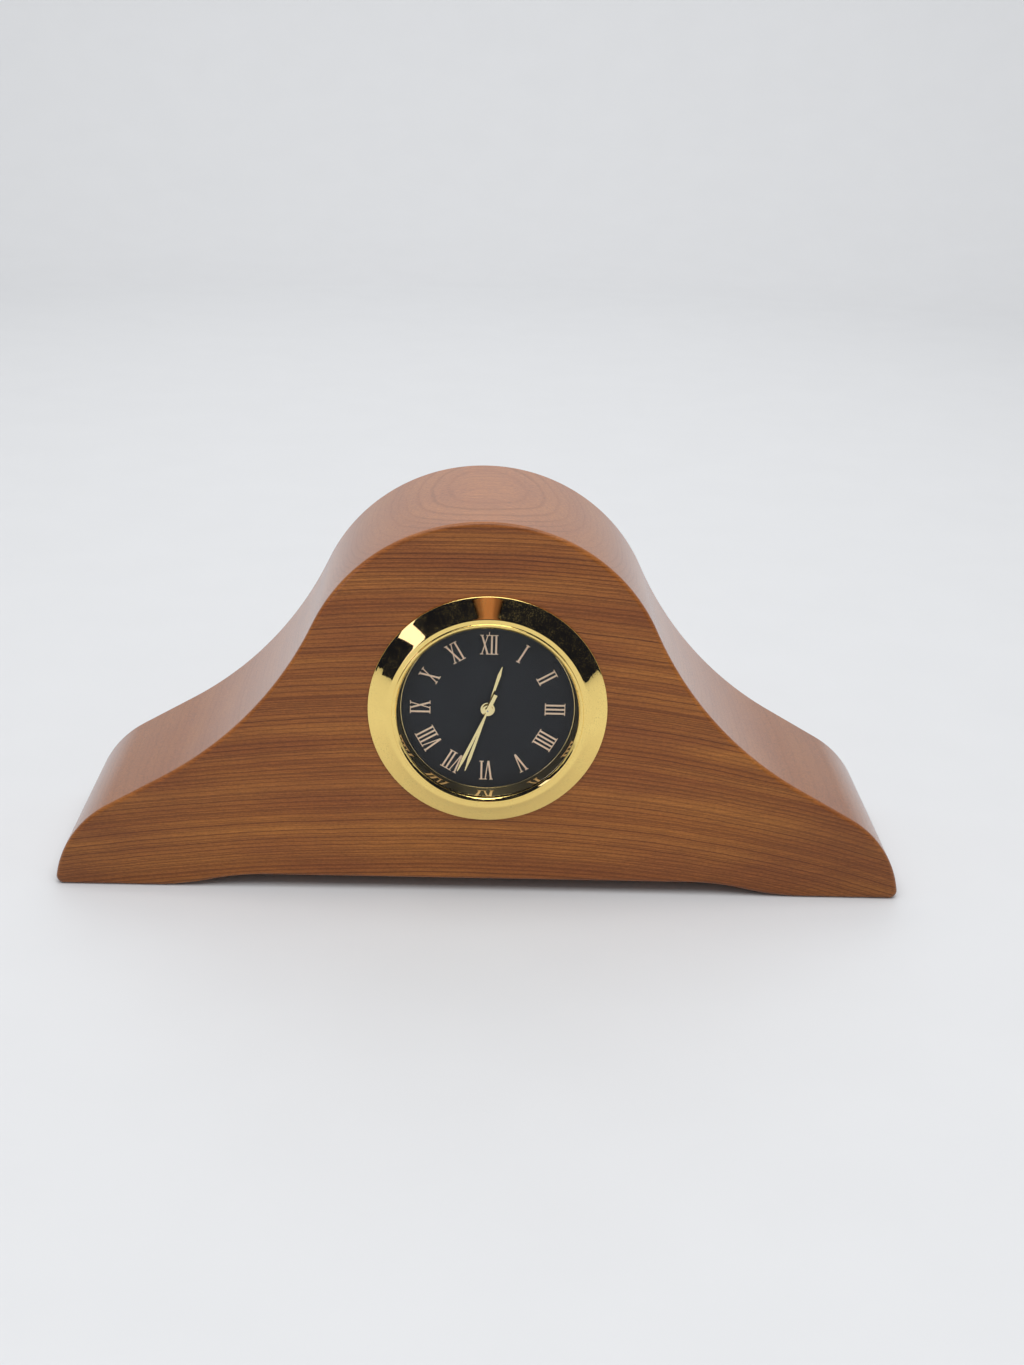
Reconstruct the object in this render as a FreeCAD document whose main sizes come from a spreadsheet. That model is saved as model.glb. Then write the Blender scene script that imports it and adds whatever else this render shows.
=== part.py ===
import FreeCAD, Part
import math
import os
import Sketcher

# Wooden desk clock with a push-in quartz insert. Millimetres, +Z up, dial facing -Y,
# origin at the centre of the base. Every size is in this table, which fills the sheet.
sizes = {
    # wooden body
    "body_width": 133.1,
    "body_height": 60.3,
    "body_thick": 34.9,
    "hump_radius": 28.6,
    "slope_length": 10.0,
    "shoulder_radius": 17.2,
    "shoulder_drop": 1.4,
    "slope_angle": 29.8,
    "foot_corner_radius": 1.2,
    "arch_height": 2.1,
    "arch_rise_length": 18.2,
    "foot_length": 15.2,
    "edge_round": 0.7,
    "bore_radius": 17.5,
    "bore_depth": 9.5,
    "bore_offset": 0.7,
    "bore_height": 30.8,
    # bezel, from the bore inwards
    "bezel_overlap": 0.75,
    "bezel_rim": 0.3,
    "lip_proud": 2.3,
    "lip_width": 0.73,
    "lip_bevel": 0.1,
    "mouth_bevel": 0.41,
    "shelf_width": 0.77,
    "shelf_drop": 0.22,
    "face_sag": 0.06,
    "skirt_wall": 1.56,
    "lens_seat": 0.53,
    "lens_setback": 0.6,
    "lens_thick": 0.9,
    "wall_seat": 0.35,
    "wall_flare": 0.69,
    "snug_gap": 0.02,
    "running_gap": 0.04,
    # dial
    "dial_sink": 0.85,
    "dial_thick": 0.4,
    "dial_foot_radius": 0.35,
    "dial_foot_length": 0.8,
    "dial_foot_circle": 13.9,
    "dial_foot_angle": 45.0,
    "numeral_margin": 1.95,
    "numeral_tall": 3.1,
    "stroke_thick": 0.27,
    "stroke_thin": 0.15,
    "serif_tall": 0.12,
    "bar_pitch": 0.66,
    "cross_width": 1.45,
    "tick_tall": 0.45,
    "tick_wide": 0.12,
    "ink_thick": 0.05,
    # insert case, grip ring and back cover
    "case_gap": 0.6,
    "case_wall": 1.0,
    "grip_gap": 0.06,
    "grip_width": 1.1,
    "grip_start": 0.25,
    "grip_rib_depth": 0.12,
    "cover_thick": 0.7,
    "cover_rim": 0.9,
    "pry_notch": 1.6,
    "back_room": 0.55,
    # movement plates
    "movement_radius": 12.0,
    "plate_rim": 1.4,
    "plate_floor": 0.5,
    "bridge_thick": 0.45,
    "bridge_radius": 8.0,
    "bridge_flat": 6.95,
    "board_thick": 0.3,
    "board_margin": 0.8,
    "cavity_radius": 6.7,
    "motion_radius": 4.6,
    # wheels
    "wheel_thick": 0.2,
    "wheel_gap": 0.2,
    "third_distance": 3.4,
    "third_angle": 62.0,
    "fifth_distance": 3.5,
    "fifth_angle": 170.0,
    "rotor_distance": 2.4,
    "rotor_angle": 130.0,
    "minute_distance": 2.4,
    "centre_teeth": 48,
    "third_teeth": 45,
    "third_leaves": 6,
    "fourth_teeth": 48,
    "fourth_leaves": 6,
    "fifth_teeth": 30,
    "fifth_leaves": 8,
    "rotor_leaves": 6,
    "cannon_leaves": 10,
    "minute_teeth": 30,
    "minute_leaves": 8,
    "hour_teeth": 32,
    "pivot_radius": 0.1,
    "pivot_length": 0.3,
    "arbor_radius": 0.17,
    "post_radius": 0.25,
    # hands and their pipes
    "seconds_arbor_radius": 0.125,
    "cannon_radius": 0.4,
    "bearing_step": 0.1,
    "hour_pipe_radius": 0.7,
    "dial_hole_radius": 0.85,
    "hand_thick": 0.15,
    "hand_lift": 0.35,
    "hand_gap": 0.25,
    "hour_length": 7.2,
    "hour_boss_radius": 1.085,
    "minute_length": 10.6,
    "minute_boss_radius": 0.78,
    "second_length": 10.9,
    "second_boss_radius": 0.42,
    "second_tail": 2.9,
    "tail_width": 0.55,
    "hand_width": 0.52,
    "hand_neck": 0.24,
    "hand_tip": 0.1,
    "hour_hand_angle": 16.5,
    "minute_hand_angle": 198.0,
    "second_hand_angle": 204.0,
    "washer_radius": 1.6,
    "washer_thick": 0.06,
    # motor
    "magnet_radius": 0.9,
    "magnet_bore": 0.3,
    "stator_thick": 0.4,
    "stator_gap": 0.2,
    "stator_ring": 0.5,
    "coil_distance": 8.3,
    "coil_height": 1.0,
    "core_length": 10.4,
    "core_width": 1.2,
    "core_thick": 0.5,
    "core_waist_radius": 0.4,
    "coil_length": 7.4,
    "coil_radius": 1.15,
    "ear_tall": 1.3,
    "spine_gap": 0.2,
    "spine_width": 1.35,
    "pocket_gap": 0.15,
    # cell and circuit
    "cell_radius": 3.4,
    "cell_thick": 2.6,
    "cell_distance": 8.0,
    "cell_angle": 259.0,
    "cell_proud": 0.15,
    "cell_cap_radius": 2.8,
    "cell_cap_thick": 0.25,
    "contact_thick": 0.15,
    "contact_width": 1.2,
    "contact_length": 5.0,
    "contact_pad_radius": 1.1,
    "strap_width": 1.4,
    "strap_thick": 0.12,
    "strap_foot": 1.2,
    "crystal_radius": 0.75,
    "crystal_length": 5.0,
    "crystal_right": 5.5,
    "crystal_down": 6.5,
    "chip_side": 2.2,
    "chip_thick": 0.3,
    "chip_right": 3.0,
    "chip_up": 5.6,
    # setting work
    "stem_radius": 0.45,
    "stem_square": 0.25,
    "square_length": 3.3,
    "stem_start": 3.7,
    "stem_sink": 0.7,
    "crown_radius": 1.2,
    "crown_length": 1.9,
    "crown_start": 14.4,
    "crown_teeth": 18,
    "knurl_tall": 0.12,
    "crown_travel": 0.9,
    "clutch_radius": 0.7,
    "clutch_tooth": 0.15,
    "clutch_teeth": 12,
    "clutch_start": 4.55,
    "clutch_length": 1.15,
    "lever_arm": 2.57,
    "lever_angle": 10.0,
    "lever_right": 8.1,
    "lever_width": 0.6,
    "lever_thick": 0.22,
    "lever_pin_radius": 0.2,
    "lever_post_radius": 0.35,
    "groove_depth": 0.15,
    "groove_width": 0.62,
    "lever_cover_thick": 0.2,
    # screws
    "screw_radius": 0.3,
    "screw_head_radius": 0.55,
    "screw_head": 0.22,
    "screw_length": 1.3,
    "screw_slot": 0.16,
    "screw_circle": 7.35,
    # cutting tools run past the faces that they cut by this much
    "overrun": 1.0,
}

bridge_screw_angles = (60.0, 125.0, 225.0, 320.0)
gear_addendum_share = 0.9
gear_dedendum_share = 1.2
tooth_flank_share = 0.42
tooth_tip_share = 0.16
hand_widest_share = 0.8
clutch_tip_share = 0.3

doc = FreeCAD.newDocument("desk_clock")
sheet = doc.addObject("Spreadsheet::Sheet", "Sizes")
for row, (alias, value) in enumerate(sizes.items(), start=1):
    sheet.set("A%d" % row, alias.replace("_", " "))
    sheet.set("B%d" % row, str(value))
    sheet.setAlias("B%d" % row, alias)
doc.recompute()


# A measure carries a number, for a sketch's first shape, and the sheet formula that it is bound to.
class Measure:
    def __init__(self, number, formula):
        self.number = number
        self.formula = formula

    def __add__(self, other):
        return Measure(self.number + number(other), "(%s + %s)" % (self.formula, formula(other)))

    def __radd__(self, other):
        return self + other

    def __sub__(self, other):
        return Measure(self.number - number(other), "(%s - %s)" % (self.formula, formula(other)))

    def __rsub__(self, other):
        return -self + other

    def __mul__(self, other):
        return Measure(self.number * number(other), "(%s * %s)" % (self.formula, formula(other)))

    def __rmul__(self, other):
        return self * other

    def __truediv__(self, other):
        return Measure(self.number / number(other), "(%s / %s)" % (self.formula, formula(other)))

    def __rtruediv__(self, other):
        return Measure(other / self.number, "(%s / %s)" % (formula(other), self.formula))

    def __neg__(self):
        return Measure(-self.number, "(0 - %s)" % self.formula)


def number(value):
    return value.number if isinstance(value, Measure) else value


def formula(value):
    return value.formula if isinstance(value, Measure) else repr(value)


def sine(angle):
    return Measure(math.sin(math.radians(number(angle))), "sin(%s)" % formula(angle))


def cosine(angle):
    return Measure(math.cos(math.radians(number(angle))), "cos(%s)" % formula(angle))


class Named:
    pass


s = Named()
for alias in sizes:
    setattr(s, alias, Measure(sheet.get(alias), "Sizes." + alias))

pieces = []


def bind(thing, place, value):
    if isinstance(value, Measure):
        thing.setExpression(place, value.formula)
    else:
        setattr(thing, place, value)


def keep(thing, label):
    thing.Label = label
    pieces.append(thing)
    return thing


def put(thing, x=0, y=0, z=0):
    for letter, value in (("x", x), ("y", y), ("z", z)):
        if isinstance(value, Measure):
            thing.setExpression("Placement.Base." + letter, value.formula)
    return thing


# Turns a piece about the Y axis, clockwise seen from the front.
def turned_round(thing, turn):
    rotation = FreeCAD.Rotation(FreeCAD.Vector(0, 1, 0), turn.number)
    thing.Placement = FreeCAD.Placement(FreeCAD.Vector(), rotation)
    thing.setExpression("Placement.Rotation.Angle", turn.formula)
    return thing


# Solid bodies made from sketches. Each plane has the sign of its normal along its own axis.
normal_signs = {"XY_Plane": 1, "XZ_Plane": -1, "YZ_Plane": 1}
across_axis = {"XY_Plane": "Z_Axis", "XZ_Plane": "Y_Axis", "YZ_Plane": "X_Axis"}


def origin_part(body, role):
    return [feature for feature in body.Origin.OriginFeatures if feature.Role == role][0]


def new_body(label):
    return keep(doc.addObject("PartDesign::Body", label), label)


def sketch_on(body, role="XZ_Plane", level=0, turn=0):
    sketch = body.newObject("Sketcher::SketchObject", body.Name + "_sketch")
    sketch.AttachmentSupport = [(origin_part(body, role), "")]
    sketch.MapMode = "FlatFace"
    upright = FreeCAD.Vector(0, 0, 1)
    sketch.AttachmentOffset = FreeCAD.Placement(FreeCAD.Vector(), FreeCAD.Rotation(upright, number(turn)))
    if isinstance(level, Measure):
        offset = level * normal_signs[role]
        sketch.setExpression("AttachmentOffset.Base.z", offset.formula)
    if isinstance(turn, Measure):
        sketch.setExpression("AttachmentOffset.Rotation.Angle", turn.formula)
    return sketch


# Holds one point of a sketch at a measured distance along one of its axes.
def hold(sketch, kind, geometry, end, value):
    if not isinstance(value, Measure):
        axis = -2 if kind == "DistanceX" else -1
        sketch.addConstraint(Sketcher.Constraint("PointOnObject", geometry, end, axis))
        return
    if value.number < 0:
        index = sketch.addConstraint(Sketcher.Constraint(kind, geometry, end, -1, 1, -value.number))
        value = -value
    else:
        index = sketch.addConstraint(Sketcher.Constraint(kind, -1, 1, geometry, end, value.number))
    sketch.setExpression("Constraints[%d]" % index, value.formula)


def set_radius(sketch, geometry, value):
    index = sketch.addConstraint(Sketcher.Constraint("Radius", geometry, value.number))
    sketch.setExpression("Constraints[%d]" % index, value.formula)


def polygon(sketch, corners):
    first = sketch.GeometryCount
    points = [FreeCAD.Vector(number(x), number(y), 0) for x, y in corners]
    count = len(points)
    for i in range(count):
        sketch.addGeometry(Part.LineSegment(points[i], points[(i + 1) % count]), False)
    for i in range(count):
        sketch.addConstraint(Sketcher.Constraint("Coincident", first + i, 2, first + (i + 1) % count, 1))
    for i, (x, y) in enumerate(corners):
        hold(sketch, "DistanceX", first + i, 1, x)
        hold(sketch, "DistanceY", first + i, 1, y)


def rectangle(sketch, left, right, low, high):
    polygon(sketch, [(left, low), (right, low), (right, high), (left, high)])


def circle(sketch, x, y, radius):
    centre = FreeCAD.Vector(number(x), number(y), 0)
    ring = sketch.addGeometry(Part.Circle(centre, FreeCAD.Vector(0, 0, 1), radius.number), False)
    hold(sketch, "DistanceX", ring, 3, x)
    hold(sketch, "DistanceY", ring, 3, y)
    set_radius(sketch, ring, radius)


# Pads and pockets both run along the plane's own axis, in the positive direction.
def pad(body, sketch, length, role="XZ_Plane"):
    feature = body.newObject("PartDesign::Pad", body.Name + "_pad")
    feature.Profile = sketch
    feature.Reversed = normal_signs[role] < 0
    bind(feature, "Length", length)
    return feature


def pocket(body, sketch, depth, role="XZ_Plane"):
    feature = body.newObject("PartDesign::Pocket", body.Name + "_pocket")
    feature.Profile = sketch
    feature.Reversed = normal_signs[role] > 0
    bind(feature, "Length", depth)
    return feature


def revolve(body, sketch, axis="V_Axis"):
    feature = body.newObject("PartDesign::Revolution", body.Name + "_turned")
    feature.Profile = sketch
    feature.ReferenceAxis = (sketch, [axis])
    feature.Angle = 360
    return feature


def pattern(body, original, count, role="XZ_Plane"):
    doc.recompute()
    feature = body.newObject("PartDesign::PolarPattern", body.Name + "_pattern")
    feature.Originals = [original]
    feature.Axis = (origin_part(body, across_axis[role]), [""])
    feature.Angle = 360
    bind(feature, "Occurrences", count)
    body.Tip = feature
    return feature


# A turned piece about the Y axis: each step is a radius and the level that it reaches.
def turned(body, start, steps, bore=0, axis="V_Axis"):
    corners = [(bore, start)]
    level = start
    for radius, reach in steps:
        corners += [(radius, level), (radius, reach)]
        level = reach
    corners.append((bore, level))
    if axis == "H_Axis":
        corners = [(along, radius) for radius, along in corners]
    sketch = sketch_on(body, "XY_Plane")
    polygon(sketch, corners)
    return revolve(body, sketch, axis)


# A toothed disc about the Y axis. Its first tooth points along turn, counted from +X up to +Z.
def toothed(count, pitch, level, thick, turn=0):
    count, pitch, level, thick, turn = [number(value) for value in (count, pitch, level, thick, turn)]
    module = 2 * pitch / count
    root = pitch - gear_dedendum_share * module
    tip = pitch + gear_addendum_share * module
    flank = tooth_flank_share * math.pi / 2 * module
    crest = tooth_tip_share * math.pi / 2 * module
    points = []
    for i in range(count):
        angle = math.radians(turn) + 2 * math.pi * i / count
        along = FreeCAD.Vector(math.cos(angle), 0, math.sin(angle))
        across = FreeCAD.Vector(-math.sin(angle), 0, math.cos(angle))
        rising = [(root, flank), (pitch, flank), (tip, crest)]
        for out, side in [(out, -side) for out, side in rising] + rising[::-1]:
            points.append(along * out + across * side + FreeCAD.Vector(0, level, 0))
    face = Part.Face(Part.makePolygon(points + points[:1]))
    disc = doc.addObject("Part::Feature", "teeth")
    disc.Shape = face.extrude(FreeCAD.Vector(0, thick, 0))
    return disc


# Plain solids for pieces that are built up and cut.
def block(x, y, z):
    solid = doc.addObject("Part::Box", "block")
    for side, (low, high) in (("Length", x), ("Width", y), ("Height", z)):
        bind(solid, side, high - low)
    return put(solid, x[0], y[0], z[0])


def rod(radius, x, y, z, along="Y"):
    solid = doc.addObject("Part::Cylinder", "rod")
    turns = {"X": ((0, 1, 0), 90), "Y": ((1, 0, 0), -90), "Z": ((0, 0, 1), 0)}
    about, turn = turns[along]
    solid.Placement = FreeCAD.Placement(FreeCAD.Vector(), FreeCAD.Rotation(FreeCAD.Vector(*about), turn))
    start = {"X": x, "Y": y, "Z": z}
    low, high = start[along]
    start[along] = low
    bind(solid, "Radius", radius)
    bind(solid, "Height", high - low)
    return put(solid, start["X"], start["Y"], start["Z"])


def joined(*solids):
    whole = doc.addObject("Part::MultiFuse", "joined")
    whole.Shapes = list(solids)
    return whole


def cut_from(base, *tools):
    tool = tools[0] if len(tools) == 1 else joined(*tools)
    rest = doc.addObject("Part::Cut", "cut")
    rest.Base = base
    rest.Tool = tool
    return rest


# Places that several pieces share. Depths run backwards from the front of the lip.
front_y = (s.lip_proud - s.body_thick) / 2
lip_y = front_y - s.lip_proud
dial_y = front_y + s.dial_sink
movement_y = dial_y + s.dial_thick
case_radius = s.bore_radius - s.case_gap
skirt_radius = case_radius - s.case_wall - s.snug_gap
recess_radius = skirt_radius - s.skirt_wall
lens_radius = recess_radius - s.snug_gap
lip_inner = lens_radius - s.lens_seat
lip_outer = lip_inner + s.lip_width
shelf_radius = lip_outer + s.shelf_width
wall_top = lens_radius - s.wall_seat
wall_foot = wall_top - s.wall_flare
bezel_radius = s.bore_radius + s.bezel_overlap
dial_depth = s.lip_proud + s.dial_sink
dial_radius = skirt_radius - s.snug_gap

# Levels in the movement, counted back from the dial's rear face.
wheel_step = s.wheel_thick + s.wheel_gap
hour_level = s.wheel_gap
minute_level = hour_level + wheel_step
motion_floor = minute_level + wheel_step
cavity_floor = motion_floor + s.plate_floor
centre_level = cavity_floor + s.wheel_gap
third_level = centre_level + wheel_step
fourth_level = third_level + wheel_step
bridge_level = fourth_level + wheel_step
bridge_back = bridge_level + s.bridge_thick
board_back = bridge_back + s.board_thick
cover_level = board_back + s.back_room
cell_back = board_back + s.cell_proud
cell_front = cell_back - s.cell_thick
stem_level = minute_level + s.wheel_thick + s.stem_sink
stator_level = fourth_level - s.wheel_gap / 2
core_level = stator_level - s.core_thick
cannon_tail = s.cannon_radius - s.running_gap
cannon_bearing = s.cannon_radius + s.bearing_step


def polar(distance, angle, centre=(0, 0)):
    return centre[0] + distance * cosine(angle), centre[1] + distance * sine(angle)


third_place = polar(s.third_distance, s.third_angle)
fifth_place = polar(s.fifth_distance, s.fifth_angle)
rotor_place = polar(s.rotor_distance, s.rotor_angle, fifth_place)
minute_place = (s.minute_distance, 0)
cell_place = polar(s.cell_distance, s.cell_angle)


# Pitch radius of a wheel from the distance between the two centres.
def pitch_of(distance, count, partner):
    return distance * count / (count + partner)


# Puts a piece of the insert at its place, seen from the front, and its level.
def on_insert(thing, level, place=(0, 0)):
    return put(thing, s.bore_offset + place[0], level, s.bore_height + place[1])


def make_wooden_body():
    body = new_body("wooden_body")
    put(body, 0, front_y, 0)
    sketch = sketch_on(body)

    slope = math.radians(s.slope_angle.number)
    hump = FreeCAD.Vector(0, number(s.body_height - s.hump_radius), 0)
    shoulder = FreeCAD.Vector(number(s.body_width / 2 - s.shoulder_radius), -s.shoulder_drop.number, 0)
    outward = FreeCAD.Vector(math.sin(slope), math.cos(slope), 0)
    uphill = FreeCAD.Vector(-math.cos(slope), math.sin(slope), 0)
    slope_end = shoulder + outward * s.shoulder_radius.number
    slope_start = slope_end + uphill * s.slope_length.number
    # the hollow of the flank touches the slope where it starts, and the hump
    chord = slope_start - hump
    flank_radius = chord.dot(chord) - s.hump_radius.number ** 2
    flank_radius /= 2 * (s.hump_radius.number - chord.dot(outward))
    flank = slope_start + outward * flank_radius
    hump_turn = math.atan2(flank.y - hump.y, flank.x - hump.x)

    # the arch leaves its flat in one arc and meets the foot in another
    arch_end = s.body_width / 2 - s.foot_length
    arch_start = number(arch_end - s.arch_rise_length)
    arch_run = s.arch_rise_length.number
    arch_radius = (arch_run ** 2 + s.arch_height.number ** 2) / (4 * s.arch_height.number)
    arch_turn = math.asin(arch_run / 2 / arch_radius)
    arch_high = FreeCAD.Vector(arch_start, s.arch_height.number - arch_radius, 0)
    arch_low = FreeCAD.Vector(arch_start + arch_run, arch_radius, 0)

    corner_radius = s.foot_corner_radius.number
    corner_reach = s.shoulder_radius.number - corner_radius
    corner_rise = corner_radius - shoulder.y
    corner_out = math.sqrt(corner_reach ** 2 - corner_rise ** 2)
    corner = FreeCAD.Vector(shoulder.x + corner_out, corner_radius, 0)
    corner_turn = math.atan2(corner_rise, corner_out)

    def line(start, end):
        return sketch.addGeometry(Part.LineSegment(start, end), False)

    def arc(centre, radius, start, end):
        ring = Part.Circle(centre, FreeCAD.Vector(0, 0, 1), radius)
        return sketch.addGeometry(Part.ArcOfCircle(ring, start, end), False)

    down = -math.pi / 2
    up = math.pi / 2
    arch_middle = FreeCAD.Vector(0, s.arch_height.number, 0)
    ceiling = line(arch_middle, arch_middle + FreeCAD.Vector(arch_start, 0, 0))
    upper = arc(arch_high, arch_radius, up - arch_turn, up)
    lower = arc(arch_low, arch_radius, down - arch_turn, down)
    foot = line(FreeCAD.Vector(arch_low.x, 0, 0), FreeCAD.Vector(corner.x, 0, 0))
    heel = arc(corner, corner_radius, down, corner_turn)
    round_end = arc(shoulder, s.shoulder_radius.number, corner_turn, up - slope)
    straight = line(slope_end, slope_start)
    hollow = arc(flank, flank_radius, hump_turn + math.pi, math.pi + up - slope)
    top = arc(hump, s.hump_radius.number, hump_turn, up)
    middle = line(hump + FreeCAD.Vector(0, s.hump_radius.number, 0), arch_middle)

    joints = [(ceiling, 2, upper, 2), (upper, 1, lower, 1), (lower, 2, foot, 1),
              (foot, 2, heel, 1), (heel, 2, round_end, 1), (round_end, 2, straight, 1),
              (straight, 2, hollow, 2), (hollow, 1, top, 1)]
    for joint in joints:
        sketch.addConstraint(Sketcher.Constraint("Tangent", *joint))
    sketch.addConstraint(Sketcher.Constraint("Coincident", top, 2, middle, 1))
    sketch.addConstraint(Sketcher.Constraint("Coincident", middle, 2, ceiling, 1))
    sketch.addConstraint(Sketcher.Constraint("Horizontal", ceiling))
    sketch.addConstraint(Sketcher.Constraint("Horizontal", foot))
    sketch.addConstraint(Sketcher.Constraint("Equal", upper, lower))
    hold(sketch, "DistanceX", middle, 1, 0)
    hold(sketch, "DistanceX", ceiling, 1, 0)
    hold(sketch, "DistanceY", ceiling, 1, s.arch_height)
    hold(sketch, "DistanceX", ceiling, 2, arch_end - s.arch_rise_length)
    hold(sketch, "DistanceX", foot, 1, arch_end)
    hold(sketch, "DistanceY", foot, 1, 0)
    set_radius(sketch, heel, s.foot_corner_radius)
    set_radius(sketch, round_end, s.shoulder_radius)
    hold(sketch, "DistanceX", round_end, 3, s.body_width / 2 - s.shoulder_radius)
    hold(sketch, "DistanceY", round_end, 3, -s.shoulder_drop)
    angle = sketch.addConstraint(Sketcher.Constraint("Angle", straight, math.pi - slope))
    sketch.setExpression("Constraints[%d]" % angle, (180 - s.slope_angle).formula)
    length = sketch.addConstraint(Sketcher.Constraint("Distance", straight, s.slope_length.number))
    sketch.setExpression("Constraints[%d]" % length, s.slope_length.formula)
    set_radius(sketch, top, s.hump_radius)
    hold(sketch, "DistanceX", top, 3, 0)
    hold(sketch, "DistanceY", middle, 1, s.body_height)

    half = pad(body, sketch, s.body_thick)
    doc.recompute()
    whole = body.newObject("PartDesign::Mirrored", "other_half")
    whole.Originals = [half]
    whole.MirrorPlane = (origin_part(body, "YZ_Plane"), [""])
    body.Tip = whole
    doc.recompute()

    eased = body.newObject("PartDesign::Fillet", "eased_edges")
    eased.Base = (whole, ["Edge%d" % (i + 1) for i, edge in enumerate(whole.Shape.Edges)
                          if edge.BoundBox.YLength < s.edge_round.number])
    bind(eased, "Radius", s.edge_round)
    doc.recompute()

    bore = sketch_on(body)
    circle(bore, s.bore_offset, s.bore_height, s.bore_radius)
    pocket(body, bore, s.bore_depth)


def make_bezel():
    body = on_insert(new_body("bezel"), lip_y)
    sketch = sketch_on(body, "XY_Plane")
    face_end = s.lip_proud - s.bezel_rim
    corners = [
        (lip_inner, s.mouth_bevel),
        (lip_inner + s.mouth_bevel, 0),
        (lip_outer - s.lip_bevel, 0),
        (lip_outer, s.lip_bevel),
        (lip_outer, s.shelf_drop),
        (shelf_radius, s.shelf_drop),
        (bezel_radius, face_end),
        (bezel_radius, s.lip_proud),
        (skirt_radius, s.lip_proud),
        (skirt_radius, dial_depth),
        (recess_radius, dial_depth),
        (recess_radius, s.lens_setback),
        (lip_inner, s.lens_setback),
    ]
    points = [FreeCAD.Vector(number(x), number(y), 0) for x, y in corners]
    count = len(points)
    face = 5
    run = bezel_radius - shelf_radius
    fall = face_end - s.shelf_drop
    hollow_radius = (run * run + fall * fall) / (8 * s.face_sag) + s.face_sag / 2
    # the sloping face is hollow: an arc from the rim back to the shelf about a centre in front of it
    chord = points[face + 1] - points[face]
    outward = FreeCAD.Vector(chord.y, -chord.x, 0).normalize()
    centre = points[face] + chord * 0.5 + outward * number(hollow_radius - s.face_sag)
    rim_turn = math.atan2(points[face + 1].y - centre.y, points[face + 1].x - centre.x)
    shelf_turn = math.atan2(points[face].y - centre.y, points[face].x - centre.x)
    for i in range(count):
        if i == face:
            ring = Part.Circle(centre, FreeCAD.Vector(0, 0, 1), hollow_radius.number)
            sketch.addGeometry(Part.ArcOfCircle(ring, rim_turn, shelf_turn), False)
        else:
            sketch.addGeometry(Part.LineSegment(points[i], points[(i + 1) % count]), False)
    starts = [2 if i == face else 1 for i in range(count)]
    for i in range(count):
        follower = (i + 1) % count
        sketch.addConstraint(Sketcher.Constraint("Coincident", i, 3 - starts[i], follower, starts[follower]))
    for i, (x, y) in enumerate(corners):
        hold(sketch, "DistanceX", i, starts[i], x)
        hold(sketch, "DistanceY", i, starts[i], y)
    set_radius(sketch, face, hollow_radius)
    revolve(body, sketch)


def make_lens():
    body = on_insert(new_body("lens"), lip_y)
    turned(body, s.lens_setback, [(lens_radius, s.lens_setback + s.lens_thick)])


def make_dial_ring():
    body = on_insert(new_body("dial_ring"), lip_y)
    start = s.lens_setback + s.lens_thick
    sketch = sketch_on(body, "XY_Plane")
    corners = [(wall_top, start), (lens_radius, start), (lens_radius, dial_depth), (wall_foot, dial_depth)]
    polygon(sketch, corners)
    revolve(body, sketch)


def make_dial():
    body = on_insert(new_body("dial"), dial_y)
    turned(body, 0, [(dial_radius, s.dial_thick)], s.dial_hole_radius)
    feet = sketch_on(body, "XZ_Plane", s.dial_thick / 2)
    for turn in (s.dial_foot_angle, s.dial_foot_angle + 180):
        circle(feet, *polar(s.dial_foot_circle, turn), s.dial_foot_radius)
    pad(body, feet, s.dial_thick / 2 + s.dial_foot_length)


# One numeral as flat strokes: u runs along the ring, v outwards from its foot line.
def numeral_face(text, tall):
    thick, thin, serif = s.stroke_thick.number, s.stroke_thin.number, s.serif_tall.number
    pitch, cross = s.bar_pitch.number, s.cross_width.number
    widths = {"I": pitch, "V": cross, "X": cross}
    left = -sum(widths[letter] for letter in text) / 2
    strokes = []

    def stroke(low, high, width):
        half = width / 2
        strokes.append([(low - half, 0), (low + half, 0), (high + half, tall), (high - half, tall)])

    def serif_bar(centre, level, wide):
        strokes.append([(centre - wide / 2, level), (centre + wide / 2, level),
                        (centre + wide / 2, level + serif), (centre - wide / 2, level + serif)])

    for letter in text:
        width = widths[letter]
        inner, outer = left + thick, left + width - thick
        middle = left + width / 2
        top = tall - serif
        if letter == "I":
            stroke(middle, middle, thick)
            serif_bar(middle, 0, pitch)
            serif_bar(middle, top, pitch)
        if letter == "V":
            stroke(middle, inner, thick)
            stroke(middle + thin / 2, outer, thin)
            serif_bar(inner, top, 2 * thick)
            serif_bar(outer, top, 2 * thick)
        if letter == "X":
            stroke(outer, inner, thick)
            stroke(inner, outer, thin)
            for end in (inner, outer):
                serif_bar(end, 0, 2 * thick)
                serif_bar(end, top, 2 * thick)
        left += width
    return strokes


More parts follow.
